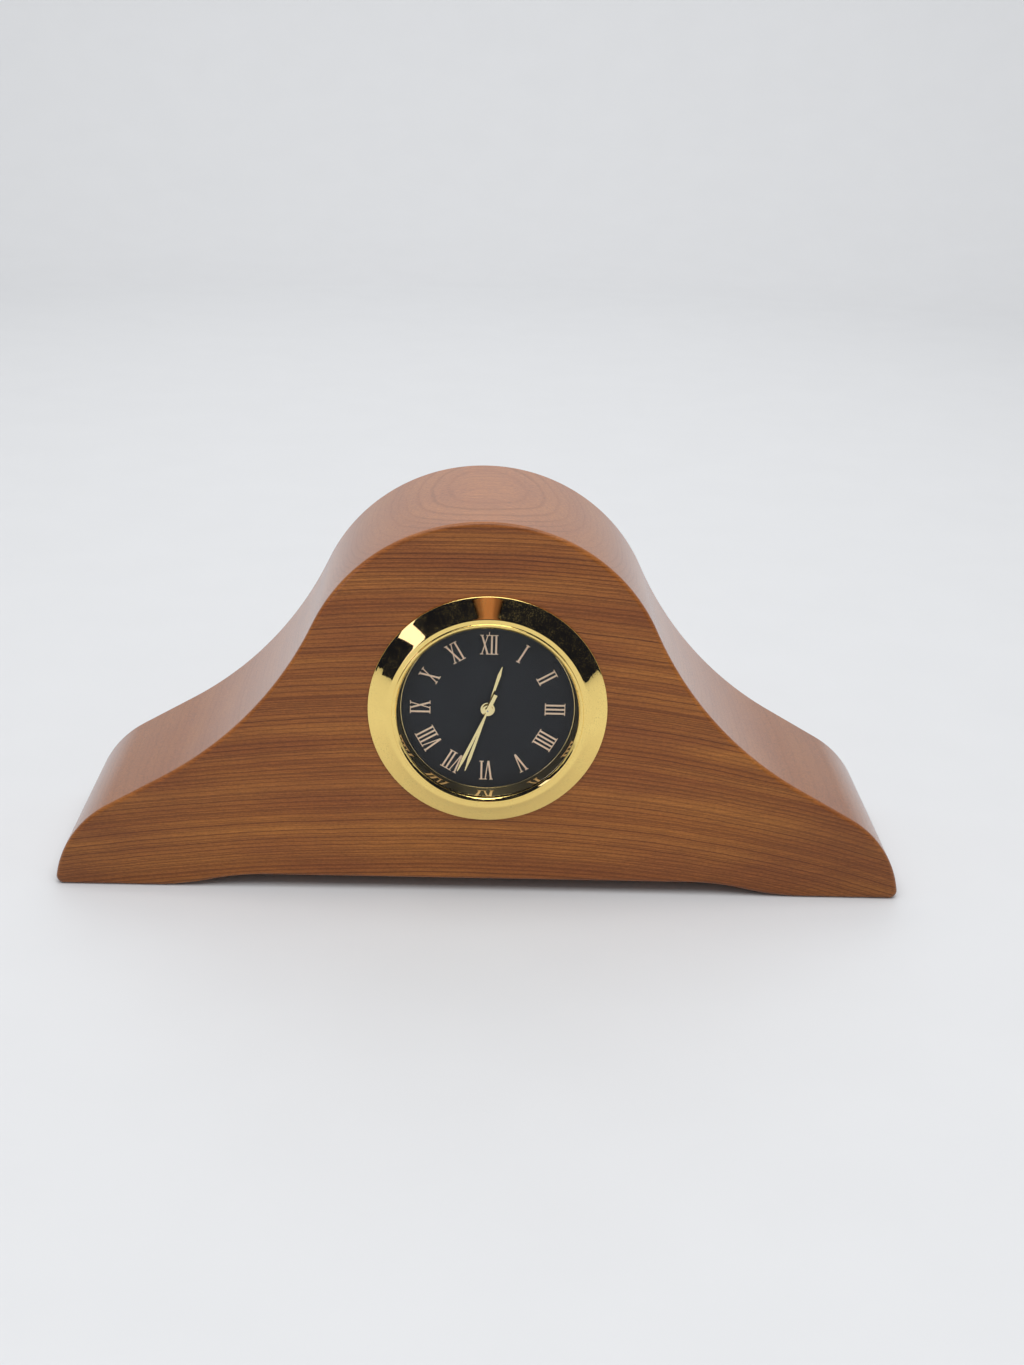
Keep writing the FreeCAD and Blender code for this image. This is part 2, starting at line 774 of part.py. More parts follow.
def make_dial_numerals():
    texts = ("XII", "I", "II", "III", "IIII", "V", "VI", "VII", "VIII", "IX", "X", "XI")
    outer = number(lip_inner - s.numeral_margin)
    tall = s.numeral_tall.number
    foot = outer - tall
    wide, rise = s.tick_wide.number, s.tick_tall.number
    solids = []
    for hour, text in enumerate(texts):
        turn = math.radians(360 / len(texts)) * hour
        strokes = numeral_face(text, tall)
        if hour == 0:
            low, high = tall - wide, tall + rise
            strokes.append([(-wide / 2, low), (wide / 2, low), (wide / 2, high), (-wide / 2, high)])
        parts = []
        for corners in strokes:
            points = []
            for across, height in corners:
                radius = foot + height
                x = across * math.cos(turn) + radius * math.sin(turn)
                z = radius * math.cos(turn) - across * math.sin(turn)
                points.append(FreeCAD.Vector(x, 0, z))
            face = Part.Face(Part.makePolygon(points + points[:1]))
            parts.append(face.extrude(FreeCAD.Vector(0, -s.ink_thick.number, 0)))
        solids.append(parts[0].fuse(parts[1:]).removeSplitter() if len(parts) > 1 else parts[0])
    feature = keep(doc.addObject("Part::Feature", "dial_numerals"), "dial_numerals")
    feature.Shape = Part.makeCompound(solids)
    on_insert(feature, dial_y)


def make_case():
    length = movement_y + cover_level - front_y
    body = on_insert(new_body("insert_case"), front_y)
    turned(body, 0, [(case_radius, length)], case_radius - s.case_wall)
    notch = sketch_on(body, "YZ_Plane", case_radius - s.case_wall - s.overrun)
    centre = movement_y - front_y + stem_level
    half = s.crown_radius + 2 * s.pocket_gap
    rectangle(notch, centre - half, centre + half, -half, half)
    pocket(body, notch, s.case_wall + 2 * s.overrun, "YZ_Plane")


def make_grip_ring():
    body = on_insert(new_body("grip_ring"), front_y)
    outer = s.bore_radius - s.grip_gap
    rib = s.grip_width / 5
    steps = []
    for i in range(5):
        radius = outer if i % 2 == 0 else outer - s.grip_rib_depth
        steps.append((radius, s.grip_start + rib * (i + 1)))
    turned(body, s.grip_start, steps, case_radius)


def make_back_cover():
    body = on_insert(new_body("back_cover"), movement_y + cover_level)
    rim_outer = case_radius - s.case_wall - s.snug_gap
    turned(body, 0, [(case_radius, s.cover_thick)])
    rim = sketch_on(body, "XZ_Plane", -s.cover_rim)
    circle(rim, 0, 0, rim_outer)
    circle(rim, 0, 0, rim_outer - s.cover_rim)
    pad(body, rim, s.cover_rim + s.cover_thick / 2)
    pry = sketch_on(body, "XZ_Plane", s.cover_thick / 2)
    half = s.pry_notch / 2
    rectangle(pry, -half, half, -case_radius - s.overrun, -case_radius + half)
    pocket(body, pry, s.cover_thick)


def make_movement_holder():
    body = on_insert(new_body("movement_holder"), movement_y)
    outer = skirt_radius - s.snug_gap
    bore = s.movement_radius + s.snug_gap
    turned(body, 0, [(outer, cover_level - s.cover_rim - s.snug_gap)], bore)
    feet = sketch_on(body)
    for turn in (s.dial_foot_angle, s.dial_foot_angle + 180):
        circle(feet, *polar(s.dial_foot_circle, turn), s.dial_foot_radius + s.snug_gap)
    pocket(body, feet, s.dial_foot_length + s.pocket_gap)
    notch = sketch_on(body, "YZ_Plane", s.crown_start - 3 * s.pocket_gap)
    half = s.crown_radius + 2 * s.pocket_gap
    rectangle(notch, stem_level - half, stem_level + half, -half, half)
    pocket(body, notch, s.bore_radius, "YZ_Plane")
    way = sketch_on(body, "YZ_Plane", 0)
    circle(way, stem_level, 0, s.stem_radius + s.running_gap)
    pocket(body, way, s.bore_radius, "YZ_Plane")


def crystal_room(sketch):
    along = s.crystal_length / 2 + s.pocket_gap
    across = s.crystal_radius + s.pocket_gap
    rectangle(sketch, s.crystal_right - along, s.crystal_right + along,
              -s.crystal_down - across, -s.crystal_down + across)


def make_main_plate():
    body = on_insert(new_body("main_plate"), movement_y)
    turned(body, 0, [(s.movement_radius, bridge_back)])
    inner = s.movement_radius - s.plate_rim

    def sink(level, draw, role="XZ_Plane", depth=None):
        sketch = sketch_on(body, role, level)
        draw(sketch)
        return pocket(body, sketch, depth if depth is not None else bridge_back - level + s.overrun, role)

    sink(bridge_level, lambda sketch: circle(sketch, 0, 0, inner))
    sink(-s.overrun, lambda sketch: circle(sketch, 0, 0, s.motion_radius), depth=motion_floor + s.overrun)
    sink(cavity_floor, lambda sketch: circle(sketch, 0, 0, s.cavity_radius))
    sink(0, lambda sketch: circle(sketch, 0, 0, cannon_bearing + s.running_gap))
    gap = s.pocket_gap
    sink(core_level - gap, lambda sketch: rectangle(
        sketch, -s.coil_distance - s.core_width / 2 - gap, rotor_place[0] - s.stator_gap,
        s.coil_height - s.core_length / 2 - gap, s.coil_height + s.core_length / 2 + gap))
    sink(core_level + s.core_thick / 2 - s.coil_radius - gap / 2, lambda sketch: rectangle(
        sketch, -s.coil_distance - s.coil_radius - gap, -s.coil_distance + s.coil_radius + gap,
        s.coil_height - s.coil_length / 2 - gap, s.coil_height + s.coil_length / 2 + gap))
    sink(cell_front - s.contact_thick, lambda sketch: circle(sketch, *cell_place, s.cell_radius + gap))
    sink(bridge_level - s.crystal_radius / 2 - gap, crystal_room)
    clutch_room = s.clutch_radius + s.clutch_tooth + gap
    sink(stem_level - clutch_room, lambda sketch: rectangle(
        sketch, s.stem_start - gap, s.clutch_start + s.clutch_length + gap, -clutch_room, clutch_room))
    sink(0, lambda sketch: circle(sketch, stem_level, 0, s.stem_radius + s.running_gap), "YZ_Plane",
         s.movement_radius + s.overrun)
    lever_floor = stem_level - s.stem_radius - gap
    lever_half = s.crown_travel / 2 + s.lever_width
    sink(lever_floor, lambda sketch: rectangle(
        sketch, s.lever_right - lever_half, s.lever_right + lever_half, -s.stem_radius - gap,
        lever_rise() + s.lever_width + gap))
    for place in (third_place, fifth_place, rotor_place):
        sink(cavity_floor - s.pivot_length - s.running_gap, lambda sketch: circle(
            sketch, *place, s.pivot_radius + s.running_gap))

    post = sketch_on(body, "XZ_Plane", hour_level)
    circle(post, *minute_place, s.post_radius)
    pad(body, post, motion_floor - hour_level + s.plate_floor / 2)
    lever_post = sketch_on(body, "XZ_Plane", lever_floor - gap)
    circle(lever_post, s.lever_right, lever_rise(), s.lever_post_radius)
    pad(body, lever_post, bridge_level - lever_floor + gap)
    screw_floor = bridge_level - s.screw_length
    for place in screw_places():
        sink(screw_floor, lambda sketch: circle(sketch, *place, s.screw_radius + s.snug_gap))


# Height of the lever's pivot above the stem's axis: its pin then runs beside the groove.
def lever_rise():
    pin_rise = s.stem_radius - s.groove_depth + s.lever_pin_radius + s.running_gap
    return s.lever_arm * cosine(s.lever_angle) + pin_rise


def strap_reach():
    return s.cell_radius + s.pocket_gap + s.strap_thick + s.strap_foot / 2


def bridge_screw_places():
    return [polar(s.screw_circle, turn) for turn in bridge_screw_angles]


def strap_screw_places():
    return [(cell_place[0] + side * strap_reach(), cell_place[1]) for side in (-1, 1)]


def lever_screw_place():
    return s.lever_right + s.crown_travel, -s.stem_radius - s.screw_head_radius - s.running_gap - s.pocket_gap


def screw_places():
    return bridge_screw_places() + strap_screw_places() + [lever_screw_place()]


def make_train_bridge():
    body = on_insert(new_body("train_bridge"), movement_y + bridge_level)
    turned(body, 0, [(s.bridge_radius, s.bridge_thick)])
    side = sketch_on(body, "XZ_Plane", -s.overrun)
    rectangle(side, s.bridge_flat, s.bridge_radius + s.overrun, -s.bridge_radius, s.bridge_radius)
    far = s.bridge_radius + s.overrun
    rectangle(side, -far, -s.coil_distance + s.coil_radius + s.pocket_gap, -far, far)
    pocket(body, side, s.bridge_thick + 2 * s.overrun)
    for draw in (lambda sketch: circle(sketch, *cell_place, s.cell_radius + s.pocket_gap), crystal_room):
        room = sketch_on(body, "XZ_Plane", -s.overrun)
        draw(room)
        pocket(body, room, s.bridge_thick + 2 * s.overrun)
    pivots = sketch_on(body)
    for place in ((0, 0), third_place, fifth_place, rotor_place):
        circle(pivots, *place, s.pivot_radius + s.running_gap)
    pocket(body, pivots, s.pivot_length + s.running_gap)
    through = sketch_on(body, "XZ_Plane", -s.overrun)
    sinks = sketch_on(body, "XZ_Plane", s.bridge_thick - s.screw_head)
    for place in bridge_screw_places():
        circle(through, *place, s.screw_radius + s.snug_gap)
        circle(sinks, *place, s.screw_head_radius + s.snug_gap)
    pocket(body, through, s.bridge_thick + 2 * s.overrun)
    pocket(body, sinks, s.screw_head + s.overrun)


def make_circuit_board():
    body = on_insert(new_body("circuit_board"), movement_y + bridge_back)
    turned(body, 0, [(s.movement_radius - s.board_margin, s.board_thick)])
    holes = sketch_on(body, "XZ_Plane", -s.overrun)
    circle(holes, *cell_place, s.cell_radius + s.pocket_gap)
    crystal_room(holes)
    for place in strap_screw_places():
        circle(holes, *place, s.screw_radius + s.snug_gap)
    pocket(body, holes, s.board_thick + 2 * s.overrun)


def make_screws():
    solids = []
    seats = [bridge_back] * len(bridge_screw_angles) + [board_back + s.strap_thick + s.screw_head] * 2
    seats.append(bridge_level + s.lever_cover_thick + s.screw_head)
    for place, back in zip(screw_places(), seats):
        under = back - s.screw_head
        shank = rod(s.screw_radius, place[0], (bridge_level - s.screw_length + s.snug_gap, under), place[1])
        head = rod(s.screw_head_radius, place[0], (under, back), place[1])
        slot = block((place[0] - s.screw_head_radius, place[0] + s.screw_head_radius),
                     (back - s.screw_slot, back + s.overrun),
                     (place[1] - s.screw_slot / 2, place[1] + s.screw_slot / 2))
        solids.append(cut_from(joined(shank, head), slot))
    group = doc.addObject("Part::Compound", "plate_screws")
    group.Links = solids
    on_insert(keep(group, "plate_screws"), movement_y)


# A stepped shaft about the Y axis: each step is a radius and the level that it reaches.
def shaft(start, steps):
    rods = []
    level = start
    for radius, reach in steps:
        rods.append(rod(radius, 0, (level, reach), 0))
        level = reach
    return rods


# Wheels, pinions and their shaft as one piece, bored through when it runs on another.
def gear(label, solids, place=(0, 0), bore=None, span=None):
    whole = solids[0] if len(solids) == 1 else joined(*solids)
    if bore is not None:
        whole = cut_from(whole, rod(bore, 0, (span[0] - s.overrun, span[1] + s.overrun), 0))
    return on_insert(keep(whole, label), movement_y, place)


def make_train():
    fourth_leaf = pitch_of(s.third_distance, s.fourth_leaves, s.third_teeth)
    third_pitch = pitch_of(s.third_distance, s.third_teeth, s.fourth_leaves)
    third_leaf = pitch_of(s.third_distance, s.third_leaves, s.centre_teeth)
    centre_pitch = pitch_of(s.third_distance, s.centre_teeth, s.third_leaves)
    fifth_leaf = pitch_of(s.fifth_distance, s.fifth_leaves, s.fourth_teeth)
    fourth_pitch = pitch_of(s.fifth_distance, s.fourth_teeth, s.fifth_leaves)
    rotor_leaf = pitch_of(s.rotor_distance, s.rotor_leaves, s.fifth_teeth)
    fifth_pitch = pitch_of(s.rotor_distance, s.fifth_teeth, s.rotor_leaves)
    half = s.wheel_gap / 4
    leaf_thick = s.wheel_thick + 2 * half
    arbor = [
        (s.pivot_radius, cavity_floor + s.running_gap),
        (s.arbor_radius, bridge_level - s.running_gap),
        (s.pivot_radius, bridge_level + s.pivot_length)]

    # a wheel's gap faces the leaf that drives it
    gap_turn = s.third_angle + 180 + 180 / s.third_teeth
    gear("third_wheel", shaft(cavity_floor - s.pivot_length, arbor) + [
        toothed(s.third_teeth, third_pitch, third_level, s.wheel_thick, gap_turn),
        toothed(s.third_leaves, third_leaf, centre_level - half, leaf_thick, s.third_angle + 180)
        ], third_place)
    gap_turn = s.rotor_angle + 180 / s.fifth_teeth
    gear("fifth_wheel", shaft(cavity_floor - s.pivot_length, arbor) + [
        toothed(s.fifth_teeth, fifth_pitch, third_level, s.wheel_thick, gap_turn),
        toothed(s.fifth_leaves, fifth_leaf, fourth_level - half, leaf_thick, s.fifth_angle + 180)
        ], fifth_place)

    # fourth wheel pressed on the seconds arbor, whose own pinion drives the third wheel
    gap_turn = s.fifth_angle + 180 / s.fourth_teeth
    gear("fourth_wheel", [toothed(s.fourth_teeth, fourth_pitch, fourth_level, s.wheel_thick, gap_turn)],
         (0, 0), s.arbor_radius + s.snug_gap, (fourth_level, bridge_level))
    gear("seconds_arbor", shaft(second_hand_y() - movement_y, [
        (s.seconds_arbor_radius, third_level)] + arbor[1:]) + [
        toothed(s.fourth_leaves, fourth_leaf, third_level - half, leaf_thick, s.third_angle)])

    # rotor: a pinion on its own arbor with the magnet ring over it
    magnet_end = stator_level + s.stator_thick
    hub = rod(s.magnet_bore - s.snug_gap, 0, (third_level + s.wheel_thick, magnet_end), 0)
    leaves = toothed(s.rotor_leaves, rotor_leaf, third_level - half, leaf_thick, s.rotor_angle + 180)
    gear("rotor_pinion", shaft(cavity_floor - s.pivot_length, arbor) + [hub, leaves], rotor_place)
    body = on_insert(new_body("rotor_magnet"), movement_y, rotor_place)
    turned(body, stator_level, [(s.magnet_radius, magnet_end)], s.magnet_bore)

    # centre wheel, held by friction on the tail of the cannon pinion
    gap_turn = s.third_angle + 180 / s.centre_teeth
    gear("centre_wheel", [toothed(s.centre_teeth, centre_pitch, centre_level, s.wheel_thick, gap_turn)],
         (0, 0), cannon_tail + s.snug_gap, (centre_level, third_level))


def make_motion_work():
    cannon_pitch = pitch_of(s.minute_distance, s.cannon_leaves, s.minute_teeth)
    minute_pitch = pitch_of(s.minute_distance, s.minute_teeth, s.cannon_leaves)
    minute_leaf = pitch_of(s.minute_distance, s.minute_leaves, s.hour_teeth)
    hour_pitch = pitch_of(s.minute_distance, s.hour_teeth, s.minute_leaves)
    half = s.wheel_gap / 4
    leaf_thick = s.wheel_thick + 2 * half

    front = minute_hand_y() - movement_y
    back = centre_level + s.wheel_thick + half
    gear("cannon_pinion", shaft(front, [
        (s.cannon_radius, minute_level),
        (cannon_bearing, centre_level - s.running_gap),
        (cannon_tail, back)]) + [toothed(s.cannon_leaves, cannon_pitch, minute_level - half, leaf_thick)],
         (0, 0), s.seconds_arbor_radius + s.running_gap, (front, back))

    gear("minute_wheel", [
        toothed(s.minute_teeth, minute_pitch, minute_level, s.wheel_thick, 180 + 180 / s.minute_teeth),
        toothed(s.minute_leaves, minute_leaf, hour_level, minute_level - hour_level, 180)],
        minute_place, s.post_radius + s.running_gap, (hour_level, motion_floor))

    front = hour_hand_y() - movement_y
    gear("hour_wheel", shaft(front, [(s.hour_pipe_radius, hour_level + s.wheel_thick)]) + [
        toothed(s.hour_teeth, hour_pitch, hour_level, s.wheel_thick, 180 / s.hour_teeth)],
        (0, 0), s.cannon_radius + 2 * s.running_gap, (front, minute_level))

    body = on_insert(new_body("dial_washer"), movement_y)
    back = hour_level - s.wheel_gap / 2
    turned(body, back - s.washer_thick, [(s.washer_radius, back)], s.hour_pipe_radius + s.running_gap)


# The front faces of the three hands, one above the other over the dial.
def hour_hand_y():
    return dial_y - s.hand_lift - s.hand_thick


def minute_hand_y():
    return hour_hand_y() - s.hand_gap - s.hand_thick


def second_hand_y():
    return minute_hand_y() - s.hand_gap - s.hand_thick


# A hand drawn at twelve and turned clockwise: narrow at the boss, widest near its tip, then pointed.
def make_hand(label, front, length, boss, bore, turn, tail=None):
    body = turned_round(new_body(label), turn)
    on_insert(body, front)
    turned(body, 0, [(boss, s.hand_thick)], bore)
    blade = sketch_on(body)
    neck, widest, tip = s.hand_neck / 2, s.hand_width / 2, s.hand_tip / 2
    start = (boss + bore) / 2
    polygon(blade, [(-neck, start), (neck, start), (widest, length * hand_widest_share), (tip, length),
                    (-tip, length), (-widest, length * hand_widest_share)])
    pad(body, blade, s.hand_thick)
    if tail is not None:
        weight = sketch_on(body)
        rectangle(weight, -s.tail_width / 2, s.tail_width / 2, -tail, -start)
        pad(body, weight, s.hand_thick)
    return body


def make_hands():
    make_hand("hour_hand", hour_hand_y(), s.hour_length, s.hour_boss_radius,
              s.hour_pipe_radius + s.snug_gap / 2, s.hour_hand_angle)
    make_hand("minute_hand", minute_hand_y(), s.minute_length, s.minute_boss_radius,
              s.cannon_radius + s.snug_gap / 2, s.minute_hand_angle)
    make_hand("second_hand", second_hand_y(), s.second_length, s.second_boss_radius,
              s.seconds_arbor_radius + s.snug_gap / 2, s.second_hand_angle, s.second_tail)


def make_motor():
    back = core_level + s.core_thick
    half_core, half_coil = s.core_length / 2, s.coil_length / 2
    middle = core_level + s.core_thick / 2
    core_wide = (-s.coil_distance - s.core_width / 2, -s.coil_distance + s.core_width / 2)
    core_span = (s.coil_height - half_core, s.coil_height + half_core)
    coil_span = (s.coil_height - half_coil, s.coil_height + half_coil)

    # the flat core swells to a round waist inside the winding
    def core():
        bar = block(core_wide, (core_level, back), core_span)
        return joined(bar, rod(s.core_waist_radius, -s.coil_distance, middle, coil_span, "Z"))

    on_insert(keep(core(), "coil_core"), movement_y)
    winding = rod(s.coil_radius, -s.coil_distance, middle, coil_span, "Z")
    on_insert(keep(cut_from(winding, core()), "coil_winding"), movement_y)

    span = (stator_level, stator_level + s.stator_thick)
    through = (stator_level - s.overrun, stator_level + s.stator_thick + s.overrun)
    hole = s.magnet_radius + s.stator_gap
    left = -s.coil_distance + s.coil_radius + s.spine_gap
    spine = block((left, left + s.spine_width), span, core_span)
    low, high = core_span
    ears = [block((core_wide[0], left + s.spine_width / 2), span, rows) for rows in (
        (low, low + s.ear_tall), (high - s.ear_tall, high))]
    ring = rod(hole + s.stator_ring, rotor_place[0], span, rotor_place[1])
    stator = cut_from(joined(spine, ring, *ears), rod(hole, rotor_place[0], through, rotor_place[1]))
    on_insert(keep(stator, "stator"), movement_y)


def make_circuit_parts():
    # the cell is a can whose smaller cap faces the dial and rests on the contact leaf
    can = rod(s.cell_radius, cell_place[0], (cell_front + s.cell_cap_thick, cell_back), cell_place[1])
    cap = rod(s.cell_cap_radius, cell_place[0], (cell_front, cell_back), cell_place[1])
    on_insert(keep(joined(can, cap), "button_cell"), movement_y)
    half = s.contact_width / 2
    span = (cell_front - s.contact_thick, cell_front)
    leaf = block((cell_place[0] - s.contact_length / 2, cell_place[0] + s.contact_length / 2), span,
                 (cell_place[1] - half, cell_place[1] + half))
    pad_disc = rod(s.contact_pad_radius, cell_place[0], span, cell_place[1])
    on_insert(keep(joined(leaf, pad_disc), "cell_contact"), movement_y)

    wide = (cell_place[1] - s.strap_width / 2, cell_place[1] + s.strap_width / 2)
    inner = s.cell_radius + s.pocket_gap
    outer = inner + s.strap_thick
    strap_back = cell_back + s.strap_thick
    parts = [block((cell_place[0] - outer, cell_place[0] + outer), (cell_back, strap_back), wide)]
    holes = []
    for side, place in zip((-1, 1), strap_screw_places()):
        near, far = cell_place[0] + side * inner, cell_place[0] + side * outer
        end = cell_place[0] + side * (outer + s.strap_foot)
        low, high = (far, near) if side < 0 else (near, far)
        parts.append(block((low, high), (board_back, strap_back), wide))
        low, high = (end, near) if side < 0 else (near, end)
        parts.append(block((low, high), (board_back, board_back + s.strap_thick), wide))
        deep = (board_back - s.overrun, cell_back)
        holes.append(rod(s.screw_radius + s.snug_gap, place[0], deep, place[1]))
    on_insert(keep(cut_from(joined(*parts), *holes), "cell_clamp"), movement_y)

    end = s.crystal_right + s.crystal_length / 2
    middle = bridge_level + s.crystal_radius / 2
    can = rod(s.crystal_radius, (end - s.crystal_length, end), middle, -s.crystal_down, "X")
    flange_radius = s.crystal_radius + s.pocket_gap / 2
    flange = rod(flange_radius, (end - s.contact_thick, end), middle, -s.crystal_down, "X")
    on_insert(keep(joined(can, flange), "quartz_crystal"), movement_y)

    chip_half = s.chip_side / 2
    chip = block((s.chip_right - chip_half, s.chip_right + chip_half),
                 (board_back, board_back + s.chip_thick),
                 (s.chip_up - chip_half, s.chip_up + chip_half))
    feature = doc.addObject("Part::Chamfer", "circuit_chip")
    feature.Base = chip
    doc.recompute()
    bevel = s.chip_thick.number / 3
    middle = number(board_back + s.chip_thick / 2)
    rear = [i + 1 for i, edge in enumerate(chip.Shape.Edges) if edge.BoundBox.YMin > middle]
    feature.Edges = [(i, bevel, bevel) for i in rear]
    on_insert(keep(feature, "circuit_chip"), movement_y)


def make_setting_work():
    stem_y = movement_y + stem_level
    groove_radius = s.stem_radius - s.groove_depth
    pin_right = s.lever_right - s.lever_arm * sine(s.lever_angle)
    groove = (pin_right - s.groove_width / 2, pin_right + s.groove_width / 2)
    square_end = s.stem_start + s.square_length

    body = on_insert(new_body("setting_stem"), stem_y)
    turned(body, square_end, [(s.stem_radius, groove[0]), (groove_radius, groove[1]),
                              (s.stem_radius, s.crown_start + s.crown_length / 2)], 0, "H_Axis")
    square = sketch_on(body, "YZ_Plane", s.stem_start)
    rectangle(square, -s.stem_square, s.stem_square, -s.stem_square, s.stem_square)
    pad(body, square, s.square_length + s.running_gap, "YZ_Plane")

    body = on_insert(new_body("clutch_pinion"), stem_y)
    turned(body, s.clutch_start, [(s.clutch_radius, s.clutch_start + s.clutch_length)], 0, "H_Axis")
    ridge = sketch_on(body, "YZ_Plane", s.clutch_start)
    half = s.clutch_tooth / 2
    crest = half * clutch_tip_share
    low, high = s.clutch_radius - s.clutch_tooth, s.clutch_radius + s.clutch_tooth
    polygon(ridge, [(low, -half), (high, -crest), (high, crest), (low, half)])
    pattern(body, pad(body, ridge, s.clutch_length, "YZ_Plane"), s.clutch_teeth, "YZ_Plane")
    hole = sketch_on(body, "YZ_Plane", s.clutch_start - s.overrun)
    room = s.stem_square + s.running_gap
    rectangle(hole, -room, room, -room, room)
    pocket(body, hole, s.clutch_length + 2 * s.overrun, "YZ_Plane")

    body = on_insert(new_body("crown"), stem_y)
    end = s.crown_start + s.crown_length
    root = s.crown_radius - s.knurl_tall
    turned(body, s.crown_start, [(root - s.knurl_tall, s.crown_start + s.knurl_tall),
                                 (root, end - s.knurl_tall),
                                 (root - s.knurl_tall, end)], 0, "H_Axis")
    grip = sketch_on(body, "YZ_Plane", s.crown_start + s.knurl_tall)
    foot = root - s.knurl_tall
    polygon(grip, [(foot, -s.knurl_tall), (s.crown_radius, -s.knurl_tall / 2),
                   (s.crown_radius, s.knurl_tall / 2), (foot, s.knurl_tall)])
    pattern(body, pad(body, grip, s.crown_length - 2 * s.knurl_tall, "YZ_Plane"), s.crown_teeth, "YZ_Plane")
    socket = sketch_on(body, "YZ_Plane", s.crown_start - s.overrun)
    circle(socket, 0, 0, s.stem_radius + s.snug_gap / 2)
    pocket(body, socket, s.crown_length / 2 + s.overrun, "YZ_Plane")

    # the lever lies behind the stem and its pin stands in the groove
    body = turned_round(new_body("setting_lever"), s.lever_angle)
    on_insert(body, movement_y, (s.lever_right, lever_rise()))
    level = stem_level + s.stem_radius + s.running_gap
    turned(body, level, [(s.lever_post_radius + s.lever_width / 2, level + s.lever_thick)],
           s.lever_post_radius + s.running_gap)
    arm = sketch_on(body, "XZ_Plane", level)
    half = s.lever_width / 2
    rectangle(arm, -half, half, -s.lever_arm - half, -s.lever_post_radius - half / 2)
    pad(body, arm, s.lever_thick)
    pin = sketch_on(body, "XZ_Plane", stem_level)
    circle(pin, 0, -s.lever_arm, s.lever_pin_radius)
    pad(body, pin, level - stem_level + s.lever_thick / 2)

    body = on_insert(new_body("lever_cover"), movement_y + bridge_level)
    cover = sketch_on(body)
    side = s.crown_travel + s.lever_width
    rectangle(cover, s.bridge_flat + s.running_gap, s.lever_right + side,
              lever_screw_place()[1] - s.screw_head_radius, lever_rise() + s.lever_width)
    pad(body, cover, s.lever_cover_thick)
    hole = sketch_on(body, "XZ_Plane", -s.overrun)
    circle(hole, *lever_screw_place(), s.screw_radius + s.snug_gap)
    pocket(body, hole, s.lever_cover_thick + 2 * s.overrun)


make_wooden_body()
make_bezel()
make_lens()
make_dial_ring()
make_dial()
make_dial_numerals()
make_case()
make_grip_ring()
make_back_cover()
make_movement_holder()
make_main_plate()
make_train_bridge()
make_circuit_board()
make_screws()
make_train()
make_motion_work()
make_hands()
make_motor()
make_circuit_parts()
make_setting_work()

doc.recompute()
for thing in doc.Objects:
    if "Invalid" in thing.State or "Error" in thing.State:
        raise RuntimeError("%s did not build" % thing.Label)
    if thing.TypeId == "PartDesign::Pocket" and thing.Shape.Volume >= thing.BaseFeature.Shape.Volume:
        raise RuntimeError("%s cuts nothing" % thing.Label)
for piece in pieces:
    if piece.Shape.isNull() or not piece.Shape.isValid():
        raise RuntimeError("%s has no valid shape" % piece.Label)

os.makedirs("parts", exist_ok=True)
for piece in pieces:
    piece.Shape.exportStep(os.path.join("parts", piece.Label + ".step"))
print("%d sub-parts written" % len(pieces))
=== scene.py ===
import math

import bpy
import bmesh
from mathutils import Matrix, Vector, noise as waves


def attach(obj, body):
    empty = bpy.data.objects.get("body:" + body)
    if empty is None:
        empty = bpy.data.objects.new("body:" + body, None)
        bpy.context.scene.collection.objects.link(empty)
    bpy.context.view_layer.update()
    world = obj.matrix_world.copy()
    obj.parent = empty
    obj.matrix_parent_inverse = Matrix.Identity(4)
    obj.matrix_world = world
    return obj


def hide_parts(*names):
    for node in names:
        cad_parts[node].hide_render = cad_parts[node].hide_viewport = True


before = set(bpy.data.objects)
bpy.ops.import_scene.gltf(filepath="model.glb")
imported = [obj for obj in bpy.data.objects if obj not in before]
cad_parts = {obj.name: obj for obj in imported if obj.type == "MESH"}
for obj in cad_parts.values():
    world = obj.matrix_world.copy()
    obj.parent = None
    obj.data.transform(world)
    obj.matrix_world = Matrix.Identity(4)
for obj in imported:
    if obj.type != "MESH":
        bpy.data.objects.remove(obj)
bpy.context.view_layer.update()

mm = 0.001
tiny = 1e-5  # mm, for comparing places while a mesh is still in millimetres
squareOn = 0.9995  # a face this square to the front or the back counts as flat


def addObject(name, data):
    thing = bpy.data.objects.new(name, data)
    bpy.context.scene.collection.objects.link(thing)
    return thing


def meshObject(bm, name, material):
    mesh = bpy.data.meshes.new(name)
    bm.to_mesh(mesh)
    bm.free()
    mesh.polygons.foreach_set("use_smooth", [True] * len(mesh.polygons))
    mesh.materials.append(material)
    return addObject(name, mesh)


# a piece of the clock is made in millimetres and scaled to metres at the end
def finishPiece(bm, name, body, material, stands, sharpAngle):
    bmesh.ops.scale(bm, vec=(mm, mm, mm), verts=bm.verts)
    piece = meshObject(bm, name, material)
    piece.data.set_sharp_from_angle(angle=math.radians(sharpAngle))
    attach(piece, body)
    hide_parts(*stands)
    return piece


def weighNormals(piece, weight=50):
    weighted = piece.modifiers.new("weighted normals", "WEIGHTED_NORMAL")
    weighted.mode = "FACE_AREA"
    weighted.weight = weight
    weighted.keep_sharp = True


def flattenAcross(piece):
    for face in piece.data.polygons:
        if abs(face.normal.y) > squareOn:
            face.use_smooth = False


def arcFrom(bm, corner, centre, turn, steps):
    made = bmesh.ops.spin(bm, geom=[corner], cent=centre, axis=(0, 1, 0), angle=turn, steps=steps,
                          use_duplicate=False)
    return made["geom_last"][0]


def lineFrom(bm, corner, along):
    made = bmesh.ops.extrude_vert_indiv(bm, verts=[corner])
    bmesh.ops.translate(bm, vec=along, verts=made["verts"])
    return made["verts"][0]


